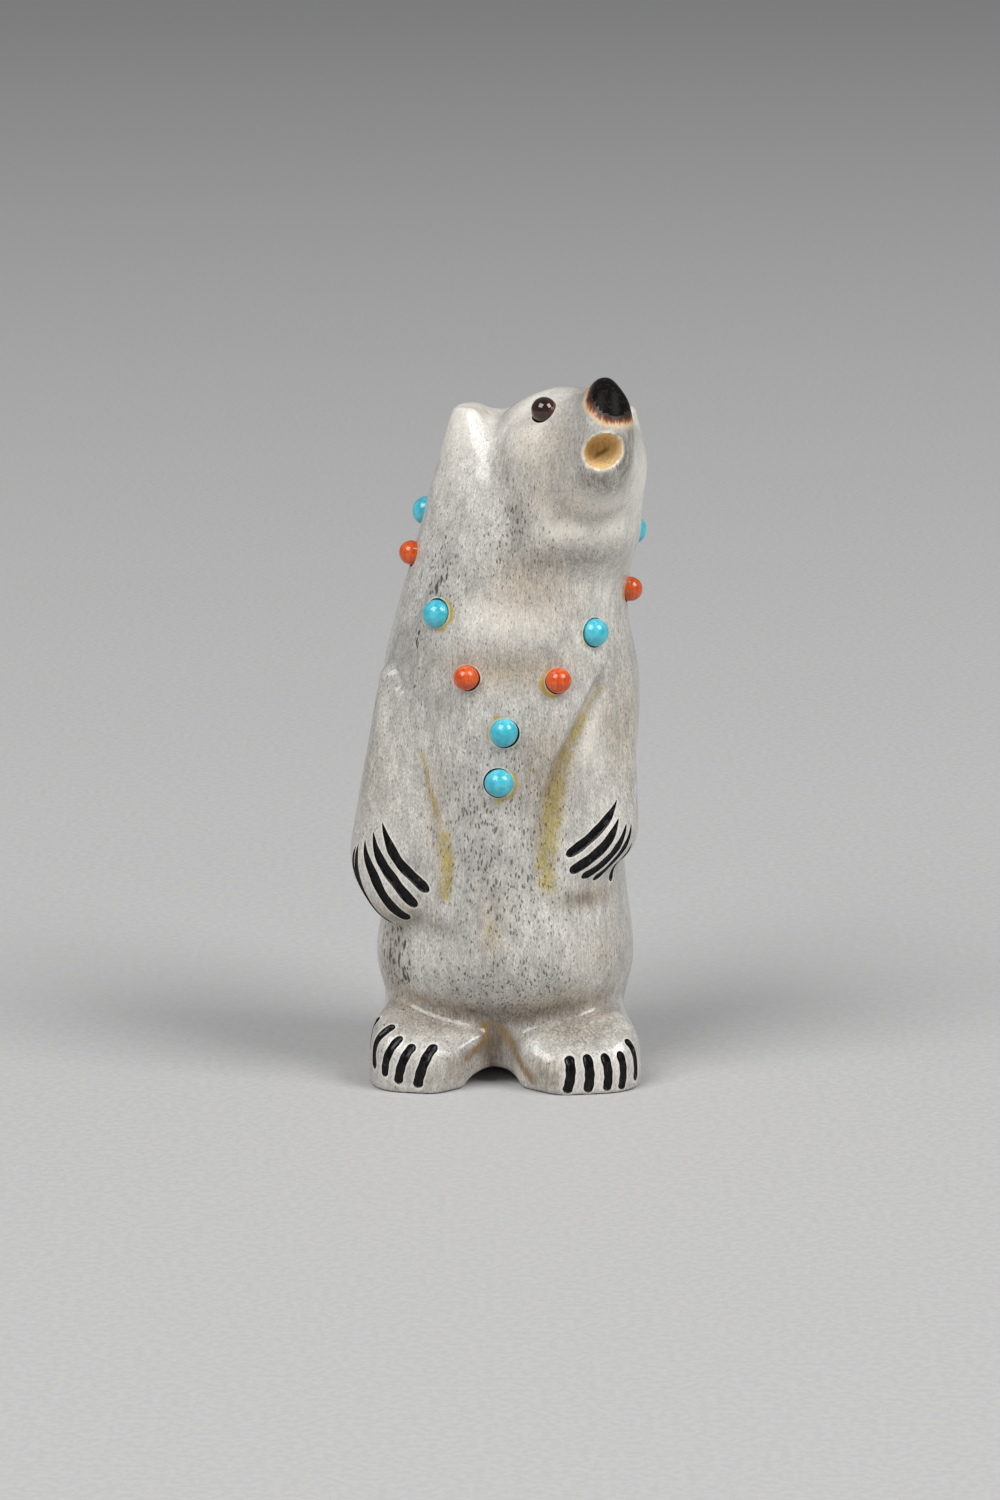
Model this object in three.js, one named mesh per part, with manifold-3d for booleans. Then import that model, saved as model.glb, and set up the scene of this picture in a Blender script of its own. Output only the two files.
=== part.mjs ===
// A small bear that stands upright and looks up over its left shoulder, carved from one piece
// of antler. Small turquoise and coral stones are set round its neck and chest like a necklace.
// Millimetres, +Z up. The bear faces -Y, and the origin is on the ground between its feet.

import * as THREE from 'three';
import { mergeVertices } from 'three/addons/utils/BufferGeometryUtils.js';
import Module from 'manifold-3d';

// Driving dimensions

const figureHeight = 75;
const turquoiseWidth = 3.0;
const turquoiseRise = 1.55;
const coralWidth = 2.6;
const coralRise = 1.7;
const eyeWidth = 2.8;
const eyeRise = 1.65;
const seatDepth = 1.2;
const seatClearance = 0.25;
const glueBed = 0.3;
const mouthWidth = 4.1;
const mouthHeight = 3.4;
const mouthDepth = 2.0;
const clawDepth = 0.35;

// The carving is free form. Its places and sizes below were set out on a figure 75 high, and
// they keep their share of the figure's height.

const drawnHeight = 75;
const share = figureHeight / drawnHeight;
const facet = drawnHeight / 40;
const headFacet = drawnHeight / 50;

// Half the width of the body to each side and its depth to the front and the back of the
// axis, at each height: [height, left, right, front, back].
const bodyStations = [
  [-3, -11.4, 12.0, 8.4, 10.4],
  [3, -11.6, 12.4, 8.7, 10.7],
  [7.2, -12.2, 12.9, 9.5, 11.0],
  [9.2, -12.75, 13.35, 10.7, 11.35],
  [11.5, -13.3, 13.8, 12.0, 11.8],
  [17, -12.85, 13.4, 12.6, 12.0],
  [25, -12.4, 12.95, 11.9, 12.0],
  [35, -12.3, 14.2, 11.3, 11.8],
  [44, -12.4, 14.1, 11.1, 11.5],
  [50, -10.95, 13.1, 10.8, 11.0],
  [56.5, -9.1, 13.95, 10.0, 10.4],
  [61, -7.9, 14.7, 8.8, 9.8],
  [66, -6.55, 14.75, 6.7, 8.4],
  [70.5, -5.2, 13.8, 3.3, 6.0],
  [75, -3.2, 12.0, 1.6, 4.0],
];
const earTop = 70.65;
const groundCut = -2;

// The furrow along the inner edge of each arm: [height, place across, place in depth, radius].
const rightFurrow = [
  [16, -6.2, -12.6, -0.6],
  [19, -6.1, -12.2, 0.5],
  [23, -5.7, -11.9, 1.2],
  [27, -6.1, -11.2, 1.3],
  [31, -6.8, -10.6, 1.2],
  [35, -7.6, -9.8, 1.0],
  [39, -8.3, -8.9, 0.7],
  [42, -9.0, -8.2, 0.4],
  [45, -9.8, -7.6, -0.4],
];
const leftFurrow = [
  [16, 4.9, -12.9, -0.8],
  [19, 4.8, -12.8, 0.5],
  [22, 4.6, -12.6, 1.4],
  [26, 4.5, -12.3, 1.8],
  [30, 5.1, -11.8, 1.7],
  [34, 6.3, -11.0, 1.4],
  [38, 8.0, -9.9, 1.1],
  [42, 9.7, -8.6, 0.7],
  [44.5, 10.7, -7.9, 0.2],
  [47, 11.6, -7.4, -0.8],
];

// The necklace: each stone's kind, its angle round the neck from the front, positive towards
// the bear's left, and its height. The last five run round the back.
const necklace = [
  ['turquoise', -97, 59.5],
  ['coral', -83, 55.4],
  ['turquoise', -44.8, 50.2],
  ['coral', -24.3, 43.9],
  ['turquoise', -4.5, 38.3],
  ['turquoise', -6.2, 33.0],
  ['coral', 25.4, 43.6],
  ['turquoise', 48.1, 48.2],
  ['coral', 82, 51.7],
  ['turquoise', 102, 57.2],
  ['coral', 130, 60.4],
  ['turquoise', 155, 62.4],
  ['coral', 181, 63.2],
  ['turquoise', 209, 62.8],
  ['coral', 238, 61.4],
];

// The claws: where each stroke starts and ends, and its width at the middle.
const claws = [
  // bear's right hand
  [[-15.5, -7.6, 25.5], [-13.7, -6.7, 19.1], 0.6],
  [[-15.2, -8.0, 25.9], [-11.2, -7.3, 18.1], 0.7],
  [[-14.5, -8.7, 26.5], [-9.8, -8.7, 18.5], 0.8],
  [[-13.6, -9.2, 27.4], [-9.0, -9.6, 19.6], 0.9],
  [[-12.6, -9.3, 28.4], [-7.7, -9.9, 21.1], 0.95],
  // bear's left hand
  [[12.0, -8.3, 30.6], [6.6, -10.5, 25.1], 0.85],
  [[12.3, -8.9, 28.8], [7.0, -10.5, 23.3], 0.9],
  [[13.2, -8.4, 28.1], [8.3, -10.1, 22.5], 0.9],
  [[13.8, -7.8, 28.0], [9.7, -9.2, 21.9], 0.8],
  [[13.7, -7.4, 25.8], [11.4, -6.5, 21.4], 0.65],
  // bear's right foot
  [[-12.6, -7.5, 6.6], [-13.9, -7.9, 3.5], 0.6],
  [[-11.3, -9.3, 6.4], [-13.2, -10.1, 2.1], 0.7],
  [[-10.5, -10.7, 5.6], [-12.2, -11.3, 1.6], 0.8],
  [[-9.2, -11.5, 5.0], [-10.9, -12.1, 1.0], 0.9],
  [[-6.9, -11.6, 5.0], [-8.9, -12.6, 0.7], 0.9],
  // bear's left foot
  [[6.8, -12.5, 4.1], [6.6, -13.3, 0.5], 0.95],
  [[8.6, -12.3, 4.2], [8.8, -13.0, 0.6], 0.9],
  [[10.4, -12.0, 4.2], [10.8, -12.6, 0.6], 0.8],
  [[12.0, -11.5, 4.3], [12.3, -12.0, 0.6], 0.7],
  [[12.7, -10.3, 5.2], [13.8, -10.5, 0.9], 0.6],
];
const clawBow = 0.08;
const clawTaper = [0.3, 0.8, 1, 0.85, 0.35];
const clawLift = 0.5;

// Form: signed distances in drawn millimetres, negative inside

const degrees = Math.PI / 180;
const vector = (x, y, z) => new THREE.Vector3(x, y, z);

function blend(a, b, soft) {
  const h = THREE.MathUtils.clamp(0.5 + (0.5 * (b - a)) / soft, 0, 1);
  return b * (1 - h) + a * h - soft * h * (1 - h);
}

const cutAway = (a, b, soft) => -blend(-a, b, soft);
const overlap = (a, b, soft) => -blend(-a, -b, soft);

// Brings a point into the frame of a lump that is pitched up, rolled and then turned at its
// centre.
function frameOf(centre, { yaw = 0, pitch = 0, roll = 0 } = {}) {
  const turn = new THREE.Euler(pitch * degrees, roll * degrees, yaw * degrees, 'ZXY');
  const frame = new THREE.Matrix4().makeRotationFromEuler(turn).setPosition(centre).invert();
  const local = vector();
  return (point) => local.copy(point).applyMatrix4(frame);
}

// An ellipsoid, or with a higher power a boxier one.
function lump(centre, radii, turn, power = 2) {
  const toLocal = frameOf(centre, turn);
  return (point) => {
    const q = toLocal(point).divide(radii);
    const sum = Math.abs(q.x) ** power + Math.abs(q.y) ** power + Math.abs(q.z) ** power;
    const size = (sum + 1e-9) ** (1 / power);
    const slope = Math.hypot(
      Math.abs(q.x) ** (power - 1) / radii.x,
      Math.abs(q.y) ** (power - 1) / radii.y,
      Math.abs(q.z) ** (power - 1) / radii.z,
    );
    return (size - 1) / (slope * size ** (1 - power) + 1e-9);
  };
}

// Two balls and the cone that touches both.
function taperedLimb(start, end, startRadius, endRadius) {
  const along = end.clone().sub(start);
  const lengthSq = along.lengthSq();
  const taper = startRadius - endRadius;
  const coneSq = lengthSq - taper * taper;
  const fromStart = vector();
  return (point) => {
    fromStart.copy(point).sub(start);
    const y = fromStart.dot(along);
    const z = y - lengthSq;
    const acrossSq = fromStart.multiplyScalar(lengthSq).addScaledVector(along, -y).lengthSq();
    const limit = Math.sign(taper) * taper * taper * acrossSq;
    if (Math.sign(z) * coneSq * z * z * lengthSq > limit) {
      return Math.sqrt(acrossSq + z * z * lengthSq) / lengthSq - endRadius;
    }
    if (Math.sign(y) * coneSq * y * y * lengthSq < limit) {
      return Math.sqrt(acrossSq + y * y * lengthSq) / lengthSq - startRadius;
    }
    return (Math.sqrt((acrossSq * coneSq) / lengthSq) + y * taper) / lengthSq - startRadius;
  };
}

// The natural cubic spline through one column of the stations, by height.
function splineOf(stations, column) {
  const xs = stations.map((row) => row[0]);
  const ys = stations.map((row) => row[column]);
  const last = xs.length - 1;
  const bends = new Array(last + 1).fill(0);
  const upper = new Array(last + 1).fill(0);
  for (let i = 1; i < last; i++) {
    const before = xs[i] - xs[i - 1];
    const after = xs[i + 1] - xs[i];
    const rise = (ys[i + 1] - ys[i]) / after - (ys[i] - ys[i - 1]) / before;
    const pivot = 2 * (before + after) - before * upper[i - 1];
    upper[i] = after / pivot;
    bends[i] = (6 * rise - before * bends[i - 1]) / pivot;
  }
  for (let i = last - 1; i > 0; i--) {
    bends[i] -= upper[i] * bends[i + 1];
  }
  return (x) => {
    const inside = THREE.MathUtils.clamp(x, xs[0], xs[last]);
    let i = 0;
    while (i < last - 1 && inside > xs[i + 1]) i++;
    const span = xs[i + 1] - xs[i];
    const b = (inside - xs[i]) / span;
    const a = 1 - b;
    const bend = (a ** 3 - a) * bends[i] + (b ** 3 - b) * bends[i + 1];
    return a * ys[i] + b * ys[i + 1] + (bend * span * span) / 6;
  };
}

const leftEdge = splineOf(bodyStations, 1);
const rightEdge = splineOf(bodyStations, 2);
const frontDepth = splineOf(bodyStations, 3);
const backDepth = splineOf(bodyStations, 4);
const middleAt = (height) => (leftEdge(height) + rightEdge(height)) / 2;

// Body, shoulders and ears in one, an oval at every height.
function hood(p) {
  const half = (rightEdge(p.z) - leftEdge(p.z)) / 2;
  const depth = p.y < 0 ? frontDepth(p.z) : backDepth(p.z);
  const u = (p.x - middleAt(p.z)) / half;
  const v = p.y / depth;
  const size = Math.hypot(u, v);
  const slope = Math.max(Math.hypot(u / half, v / depth), 1e-6);
  return (size * (size - 1)) / slope;
}

// The dips between the ears and the skull, which run from front to back.
function earValley(x, lean) {
  const toLocal = frameOf(vector(x, 2.5, 72.2), { pitch: 10, roll: lean });
  return (point) => {
    const q = toLocal(point);
    return Math.hypot(q.x, q.z / 1.15) - 2.4;
  };
}

const rightValley = earValley(-0.2, -8);
const leftValley = earValley(8.9, 8);

// The thick edge of the collar, and the hollow above it and under the chin.
const collar = lump(vector(7.4, -4.2, 59.0), vector(6.4, 6.4, 4.6), { yaw: 10, roll: 12 });
const throat = lump(vector(8.6, -16.0, 66.9), vector(9.4, 8.5, 9.3), { yaw: 8, roll: 20 });
const skull = lump(vector(5.9, -1.2, 63.4), vector(7.9, 8.0, 7.9), { yaw: 15, roll: 6 }, 2.7);
const jowl = lump(vector(8.5, -4.2, 64.9), vector(6.0, 6.5, 5.6), { yaw: 17, pitch: -15 });

// The muzzle is a tapered, upright oval that points up and to the bear's left. The snout at
// its end is a taller oval, with a flat on each side of the nose.
const muzzleTip = vector(10.2, -12.0, 68.6);
const muzzleTurn = { yaw: 19, pitch: -17 };
const muzzleSqueeze = 0.58;
const muzzleFrame = frameOf(muzzleTip, muzzleTurn);
const muzzleLimb = taperedLimb(vector(0, 9.5, -0.9), vector(0, 0.7, 0), 4.7, 3.1);
const muzzleLocal = vector();

function muzzle(point) {
  muzzleLocal.copy(muzzleFrame(point));
  muzzleLocal.z *= muzzleSqueeze;
  return muzzleLimb(muzzleLocal);
}

// A flat through a point: the side that its normal points to is outside.
function flat(through, normal) {
  const out = normal.clone().normalize();
  const reach = through.dot(out);
  return (point) => point.dot(out) - reach;
}

const snoutTurn = { yaw: 19, pitch: -10, roll: 6 };
const snout = lump(vector(10.2, -12.1, 69.4), vector(2.95, 3.4, 6.0), snoutTurn);
const rightNoseFlat = flat(vector(8.75, -12.0, 73.2), vector(-0.93, -0.1, 0.35));
const leftNoseFlat = flat(vector(12.3, -12.5, 73.9), vector(0.79, 0.05, 0.6));

function head(p) {
  const flats = Math.max(rightNoseFlat(p), leftNoseFlat(p));
  const cheeks = blend(skull(p), jowl(p), 2.0);
  return blend(blend(cheeks, muzzle(p), 4.2), overlap(snout(p), flats, 0.4), 1.2);
}

// Each arm is a long taper with a ridge along its inner side, and ends in a paw.
const pawTurn = (roll) => ({ pitch: -13, roll });
const rightArm = taperedLimb(vector(-11.3, -4.0, 42.6), vector(-10.9, -5.1, 25.4), 1.6, 5.0);
const rightRidge = taperedLimb(vector(-10.2, -6.2, 41), vector(-9.2, -7.0, 25), 0.5, 2.9);
const rightPaw = lump(vector(-10.6, -5.5, 22.3), vector(4.7, 4.5, 5.6), pawTurn(-30), 2.5);
const leftArm = taperedLimb(vector(12.1, -3.6, 42.6), vector(9.9, -4.8, 27.2), 1.5, 4.3);
const leftRidge = taperedLimb(vector(11.2, -6.0, 41), vector(8.8, -7.0, 27), 0.5, 2.7);
const leftPaw = lump(vector(8.6, -5.7, 25.3), vector(3.7, 4.4, 5.7), pawTurn(42), 2.3);

function arms(p) {
  const right = blend(blend(rightArm(p), rightRidge(p), 1.5), rightPaw(p), 0.9);
  const left = blend(blend(leftArm(p), leftRidge(p), 1.5), leftPaw(p), 0.9);
  return Math.min(right, left);
}

function furrowAlong(stations) {
  const [across, depth, radius] = [1, 2, 3].map((column) => splineOf(stations, column));
  return (p) => (Math.hypot(p.x - across(p.z), p.y - depth(p.z)) - radius(p.z)) / 1.1;
}

const rightFurrowCut = furrowAlong(rightFurrow);
const leftFurrowCut = furrowAlong(leftFurrow);

const rightFoot = lump(vector(-7.0, -4.9, 1.2), vector(6.7, 7.9, 7.7), { yaw: -8 }, 3.4);
const leftFoot = lump(vector(7.4, -5.1, 1.0), vector(7.0, 8.1, 7.1), { yaw: 7 }, 3.0);
const instep = flat(vector(0, -9.0, 6.9), vector(0, -0.55, 0.83));
const feet = (p) => overlap(blend(rightFoot(p), leftFoot(p), 1.2), instep(p), 1.5);

// The fork of the feet: two flanks that meet in a crease, and a low arch at the floor. The
// crease runs forward towards the floor and dies away above the feet.
const forkMiddle = -1.05;
const crease = { depth: -10.3, height: 7.2, lean: 0.35, fadesFrom: 5, fade: 0.3 };
const forkSlant = 50 * degrees;
const forkArch = lump(vector(forkMiddle, -10.5, -1.3), vector(3.4, 8.5, 3.2));

function fork(p) {
  const faded = crease.fade * Math.max(p.z - crease.fadesFrom, 0) ** 2;
  const behind = crease.depth + crease.lean * (crease.height - p.z) - faded - p.y;
  const aside = Math.abs(p.x - forkMiddle);
  const flanks = aside * Math.cos(forkSlant) - behind * Math.sin(forkSlant);
  return blend(flanks / 1.04, forkArch(p), 0.5);
}

// Shallow hollows of the chest, and one swelling between them: centre, reach and depth.
const presses = [
  [vector(6.0, -10.0, 53.5), vector(6.5, 4.0, 2.8), 0.35],
  [vector(0.7, -11.3, 44.3), vector(8.0, 4.0, 2.2), 0.35],
  [vector(-0.5, -11.0, 48.5), vector(9.0, 4.0, 2.2), -0.25],
];
const pressLocal = vector();

function pressAt(p) {
  return presses.reduce((sum, [centre, reach, depth]) => {
    pressLocal.copy(p).sub(centre).divide(reach);
    return sum + depth * Math.exp(-pressLocal.lengthSq());
  }, 0);
}

function carving(p) {
  let d = overlap(hood(p), p.z - earTop, 0.4);
  d = cutAway(d, Math.min(rightValley(p), leftValley(p)), 1.2);
  d = blend(d, collar(p), 2.5);
  d = cutAway(d, throat(p), 0.8);
  d = blend(d, head(p), 1.0);
  d = blend(d, arms(p), 0.8);
  d = cutAway(d, Math.min(rightFurrowCut(p), leftFurrowCut(p)), 0.7);
  d = blend(d, feet(p), 1.5);
  d = cutAway(d, fork(p), 0.7);
  return Math.max(d + pressAt(p), groundCut - p.z);
}

function outwardAt(p) {
  const step = 0.02;
  const slope = (x, y, z) =>
    carving(vector(p.x + x, p.y + y, p.z + z)) - carving(vector(p.x - x, p.y - y, p.z - z));
  return vector(slope(step, 0, 0), slope(0, step, 0), slope(0, 0, step)).normalize();
}

function ontoSurface(p, most = Infinity) {
  const q = p.clone();
  for (let i = 0; i < 4; i++) {
    const d = THREE.MathUtils.clamp(carving(q), -most, most);
    q.addScaledVector(outwardAt(q), -d);
  }
  return q;
}

// The outermost point at an angle round the neck and a height.
function pointRoundNeck(angle, height) {
  const out = vector(Math.sin(angle * degrees), -Math.cos(angle * degrees), 0);
  const axis = vector(middleAt(height), 0, height);
  const at = (reach) => axis.clone().addScaledVector(out, reach);
  let outside = 25;
  while (carving(at(outside)) > 0) outside -= 0.25;
  let inside = outside;
  outside += 0.25;
  for (let i = 0; i < 20; i++) {
    const middle = (inside + outside) / 2;
    if (carving(at(middle)) > 0) outside = middle;
    else inside = middle;
  }
  return at(inside);
}

// Skin: a closed mesh with one corner in each grid cell that the surface crosses

function gridLines(from, to, stepAt) {
  const lines = [from];
  while (lines[lines.length - 1] < to) {
    const at = lines[lines.length - 1];
    lines.push(at + stepAt(at));
  }
  return lines;
}

// A grid cell is pinched where the skin would touch itself in it: corners across a face or
// across the cell are on one side of the skin, and those between them on the other.
const faceAxes = [[1, 2, 4], [2, 4, 1], [4, 1, 2]];
const cellFaces = faceAxes.flatMap(([across, p, q]) => [
  [0, p, p | q, q],
  [across, across | p, across | p | q, across | q],
]);

function isPinched(inside) {
  const faceIs = ([a, b, c, d]) =>
    inside[a] === inside[c] && inside[b] === inside[d] && inside[a] !== inside[b];
  const pairAcross = (side) => {
    const same = [0, 1, 2, 3, 4, 5, 6, 7].filter((n) => inside[n] === side);
    return same.length === 2 && (same[0] ^ same[1]) === 7;
  };
  return cellFaces.some(faceIs) || pairAcross(true) || pairAcross(false);
}

// Moves the corner that lies nearest the skin to its other side, until no cell is pinched.
function openPinches(values, cells) {
  let found = true;
  while (found) {
    found = false;
    for (const cell of cells) {
      if (!isPinched(cell.map((n) => values[n] < 0))) continue;
      const nearest = cell.reduce((a, b) => (Math.abs(values[b]) < Math.abs(values[a]) ? b : a));
      values[nearest] = -Math.sign(values[nearest]) * facet;
      found = true;
    }
  }
}

// The skin's grid reaches past the form on every side, and is finer above the shoulders.
const crown = bodyStations[bodyStations.length - 1][0];
const shoulders = 0.7 * crown;
const gridFrom = vector(-20, -20.2, groundCut - 2 * facet);
const gridTo = vector(18, 15, crown + 2 * facet);

function skin() {
  const xs = gridLines(gridFrom.x, gridTo.x, () => facet);
  const ys = gridLines(gridFrom.y, gridTo.y, () => facet);
  const zs = gridLines(gridFrom.z, gridTo.z, (z) => (z < shoulders ? facet : headFacet));
  const [nx, ny, nz] = [xs.length, ys.length, zs.length];
  const index = (i, j, k) => i + nx * (j + ny * k);
  const values = new Float64Array(nx * ny * nz);
  const p = vector();
  for (let k = 0; k < nz; k++) {
    for (let j = 0; j < ny; j++) {
      for (let i = 0; i < nx; i++) {
        values[index(i, j, k)] = carving(p.set(xs[i], ys[j], zs[k]));
      }
    }
  }

  const ends = [0, 1, 2, 3, 4, 5, 6, 7].map((n) => [n & 1, (n >> 1) & 1, n >> 2]);
  const crossedCells = [];
  for (let k = 0; k < nz - 1; k++) {
    for (let j = 0; j < ny - 1; j++) {
      for (let i = 0; i < nx - 1; i++) {
        const cell = ends.map(([a, b, c]) => index(i + a, j + b, k + c));
        const inside = cell.filter((n) => values[n] < 0).length;
        if (inside > 0 && inside < 8) crossedCells.push(cell);
      }
    }
  }
  openPinches(values, crossedCells);

  const corners = [];
  const cornerOf = new Int32Array(values.length).fill(-1);
  for (let k = 0; k < nz - 1; k++) {
    for (let j = 0; j < ny - 1; j++) {
      for (let i = 0; i < nx - 1; i++) {
        const sum = vector(0, 0, 0);
        let crossings = 0;
        for (let a = 0; a < 8; a++) {
          for (let bit = 1; bit < 8; bit *= 2) {
            if (a & bit) continue;
            const [ea, eb] = [ends[a], ends[a | bit]];
            const va = values[index(i + ea[0], j + ea[1], k + ea[2])];
            const vb = values[index(i + eb[0], j + eb[1], k + eb[2])];
            if (va < 0 === vb < 0) continue;
            const t = va / (va - vb);
            sum.x += xs[i + ea[0]] * (1 - t) + xs[i + eb[0]] * t;
            sum.y += ys[j + ea[1]] * (1 - t) + ys[j + eb[1]] * t;
            sum.z += zs[k + ea[2]] * (1 - t) + zs[k + eb[2]] * t;
            crossings++;
          }
        }
        if (crossings === 0) continue;
        cornerOf[index(i, j, k)] = corners.length;
        corners.push(ontoSurface(sum.divideScalar(crossings), facet / 4));
      }
    }
  }

  const faces = [];
  const addQuad = (a, b, c, d, flip) => {
    const [pa, pb, pc, pd] = [a, b, c, d].map((n) => corners[n]);
    const split = pa.distanceToSquared(pc) < pb.distanceToSquared(pd);
    const pair = split ? [[a, b, c], [a, c, d]] : [[b, c, d], [b, d, a]];
    for (const [u, v, w] of pair) {
      faces.push(...(flip ? [w, v, u] : [u, v, w]));
    }
  };
  for (let k = 1; k < nz - 1; k++) {
    for (let j = 1; j < ny - 1; j++) {
      for (let i = 1; i < nx - 1; i++) {
        const here = values[index(i, j, k)] < 0;
        const cell = (di, dj, dk) => cornerOf[index(i - di, j - dj, k - dk)];
        if (here !== values[index(i + 1, j, k)] < 0) {
          addQuad(cell(0, 0, 0), cell(0, 1, 0), cell(0, 1, 1), cell(0, 0, 1), !here);
        }
        if (here !== values[index(i, j + 1, k)] < 0) {
          addQuad(cell(0, 0, 0), cell(0, 0, 1), cell(1, 0, 1), cell(1, 0, 0), !here);
        }
        if (here !== values[index(i, j, k + 1)] < 0) {
          addQuad(cell(0, 0, 0), cell(1, 0, 0), cell(1, 1, 0), cell(0, 1, 0), !here);
        }
      }
    }
  }

  const geometry = new THREE.BufferGeometry();
  const places = corners.flatMap((c) => [c.x * share, c.y * share, c.z * share]);
  geometry.setAttribute('position', new THREE.Float32BufferAttribute(places, 3));
  geometry.setIndex(faces);
  return geometry;
}

// Solids

const wasm = await Module();
wasm.setup();

function solidOf(geometry) {
  const bare = geometry.clone();
  bare.deleteAttribute('normal');
  bare.deleteAttribute('uv');
  const merged = mergeVertices(bare, 1e-5);
  const vertProperties = new Float32Array(merged.attributes.position.array);
  const triVerts = new Uint32Array(merged.index.array);
  return new wasm.Manifold(new wasm.Mesh({ numProp: 3, vertProperties, triVerts }));
}

// The cuts leave a few corners almost on each other. They become one corner, and the faces
// between them go.
const sameCorner = 0.01;

function geometryOf(solid) {
  const { vertProperties, triVerts } = solid.getMesh();
  const position = new THREE.Float32BufferAttribute(vertProperties, 3);
  const corner = (n) => vector().fromBufferAttribute(position, n);
  const stands = Int32Array.from({ length: position.count }, (_, n) => n);
  const standsFor = (n) => (stands[n] === n ? n : standsFor(stands[n]));
  for (let n = 0; n < triVerts.length; n++) {
    const next = n % 3 === 2 ? n - 2 : n + 1;
    const [a, b] = [standsFor(triVerts[n]), standsFor(triVerts[next])];
    if (a !== b && corner(a).distanceTo(corner(b)) < sameCorner) stands[b] = a;
  }
  const faces = [];
  for (let n = 0; n < triVerts.length; n += 3) {
    const [a, b, c] = [0, 1, 2].map((m) => standsFor(triVerts[n + m]));
    if (a !== b && b !== c && c !== a) faces.push(a, b, c);
  }
  const geometry = new THREE.BufferGeometry();
  geometry.setAttribute('position', position);
  geometry.setIndex(faces);
  const faceted = geometry.toNonIndexed();
  faceted.computeVertexNormals();
  return faceted;
}

// A place on the carved surface, in real millimetres: +Y of its frame points out of the piece.
function settingAt(surfacePoint) {
  const out = outwardAt(surfacePoint);
  return {
    point: surfacePoint.clone().multiplyScalar(share),
    turn: new THREE.Quaternion().setFromUnitVectors(vector(0, 1, 0), out),
  };
}

function placed(geometry, setting) {
  const frame = new THREE.Matrix4().compose(setting.point, setting.turn, vector(1, 1, 1));
  return geometry.clone().applyMatrix4(frame);
}

const settingSides = 10;
const seatReach = 3;

function seat(width) {
  const radius = width / 2 + seatClearance;
  const length = seatDepth + seatReach;
  const hole = new THREE.CylinderGeometry(radius, radius, length, settingSides);
  return hole.translate(0, length / 2 - seatDepth, 0);
}

// A polished stone: a straight foot in its seat and a dome above the carving.
function stone(width, rise, girdle) {
  const radius = width / 2;
  const foot = glueBed - seatDepth;
  const profile = [new THREE.Vector2(0, foot), new THREE.Vector2(radius, foot)];
  const domeSteps = 3;
  for (let i = 0; i < domeSteps; i++) {
    const angle = (i / domeSteps) * (Math.PI / 2);
    const height = girdle + (rise - girdle) * Math.sin(angle);
    profile.push(new THREE.Vector2(radius * Math.cos(angle), height));
  }
  profile.push(new THREE.Vector2(0, rise));
  return new THREE.LatheGeometry(profile, settingSides);
}

// A V-shaped stroke that follows the surface and comes to a point at both ends.
function clawCut([from, to, width]) {
  const start = vector(...from);
  const end = vector(...to);
  const side = end.clone().sub(start).cross(outwardAt(ontoSurface(start))).normalize();
  const bow = start.distanceTo(end) * clawBow * Math.sign(side.x * start.x || 1);
  const lastStation = clawTaper.length - 1;
  const along = clawTaper.map((_, i) => {
    const t = i / lastStation;
    const p = start.clone().lerp(end, t).addScaledVector(side, bow * 4 * t * (1 - t));
    return ontoSurface(p);
  });
  const places = along.flatMap((p, i) => {
    const out = outwardAt(p);
    const ahead = along[Math.min(i + 1, lastStation)].clone();
    const across = ahead.sub(along[Math.max(i - 1, 0)]).cross(out).normalize();
    const centre = p.clone().multiplyScalar(share);
    const depth = clawDepth * Math.sqrt(clawTaper[i]);
    const reach = ((width / 2) * clawTaper[i] * (depth + clawLift)) / depth;
    const top = centre.clone().addScaledVector(out, clawLift);
    return [
      ...top.clone().addScaledVector(across, reach),
      ...top.clone().addScaledVector(across, -reach),
      ...centre.clone().addScaledVector(out, -depth),
    ];
  });
  const faces = [0, 1, 2];
  for (let i = 0; i < lastStation; i++) {
    const [a, b] = [3 * i, 3 * i + 3];
    for (const [m, n] of [[0, 1], [1, 2], [2, 0]]) {
      faces.push(a + m, b + n, a + n, a + m, b + m, b + n);
    }
  }
  const tip = 3 * lastStation;
  faces.push(tip, tip + 2, tip + 1);
  const geometry = new THREE.BufferGeometry();
  geometry.setAttribute('position', new THREE.Float32BufferAttribute(places, 3));
  geometry.setIndex(faces);
  return geometry;
}

const necklaceStones = necklace.map(([kind, angle, height]) => ({
  kind,
  setting: settingAt(pointRoundNeck(angle, height)),
}));
const rightEye = settingAt(ontoSurface(vector(4.3, -7.22, 71.23)));
const leftEye = settingAt(ontoSurface(vector(10.5, -4.8, 71.4)));
const mouthTurn = new THREE.Euler(-8 * degrees, -30 * degrees, 14 * degrees, 'ZXY');
const mouthPlace = {
  point: ontoSurface(vector(10.14, -15.2, 68.3)).multiplyScalar(share),
  turn: new THREE.Quaternion().setFromEuler(mouthTurn),
};

function mouthCut() {
  const bowl = new THREE.SphereGeometry(1, 14, 8);
  bowl.scale(mouthWidth / 2, mouthDepth, mouthHeight / 2);
  return placed(bowl, mouthPlace);
}

function groundBlock() {
  const block = new THREE.BoxGeometry(60 * share, 60 * share, 20 * share);
  return block.translate(0, 0, -10 * share);
}

const widths = { turquoise: turquoiseWidth, coral: coralWidth };
const cutters = [
  groundBlock(),
  mouthCut(),
  placed(seat(eyeWidth), rightEye),
  placed(seat(eyeWidth), leftEye),
  ...necklaceStones.map(({ kind, setting }) => placed(seat(widths[kind]), setting)),
  ...claws.map(clawCut),
];
let body = solidOf(skin());
for (const cutter of cutters) {
  body = body.subtract(solidOf(cutter));
}

// Pieces

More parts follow.
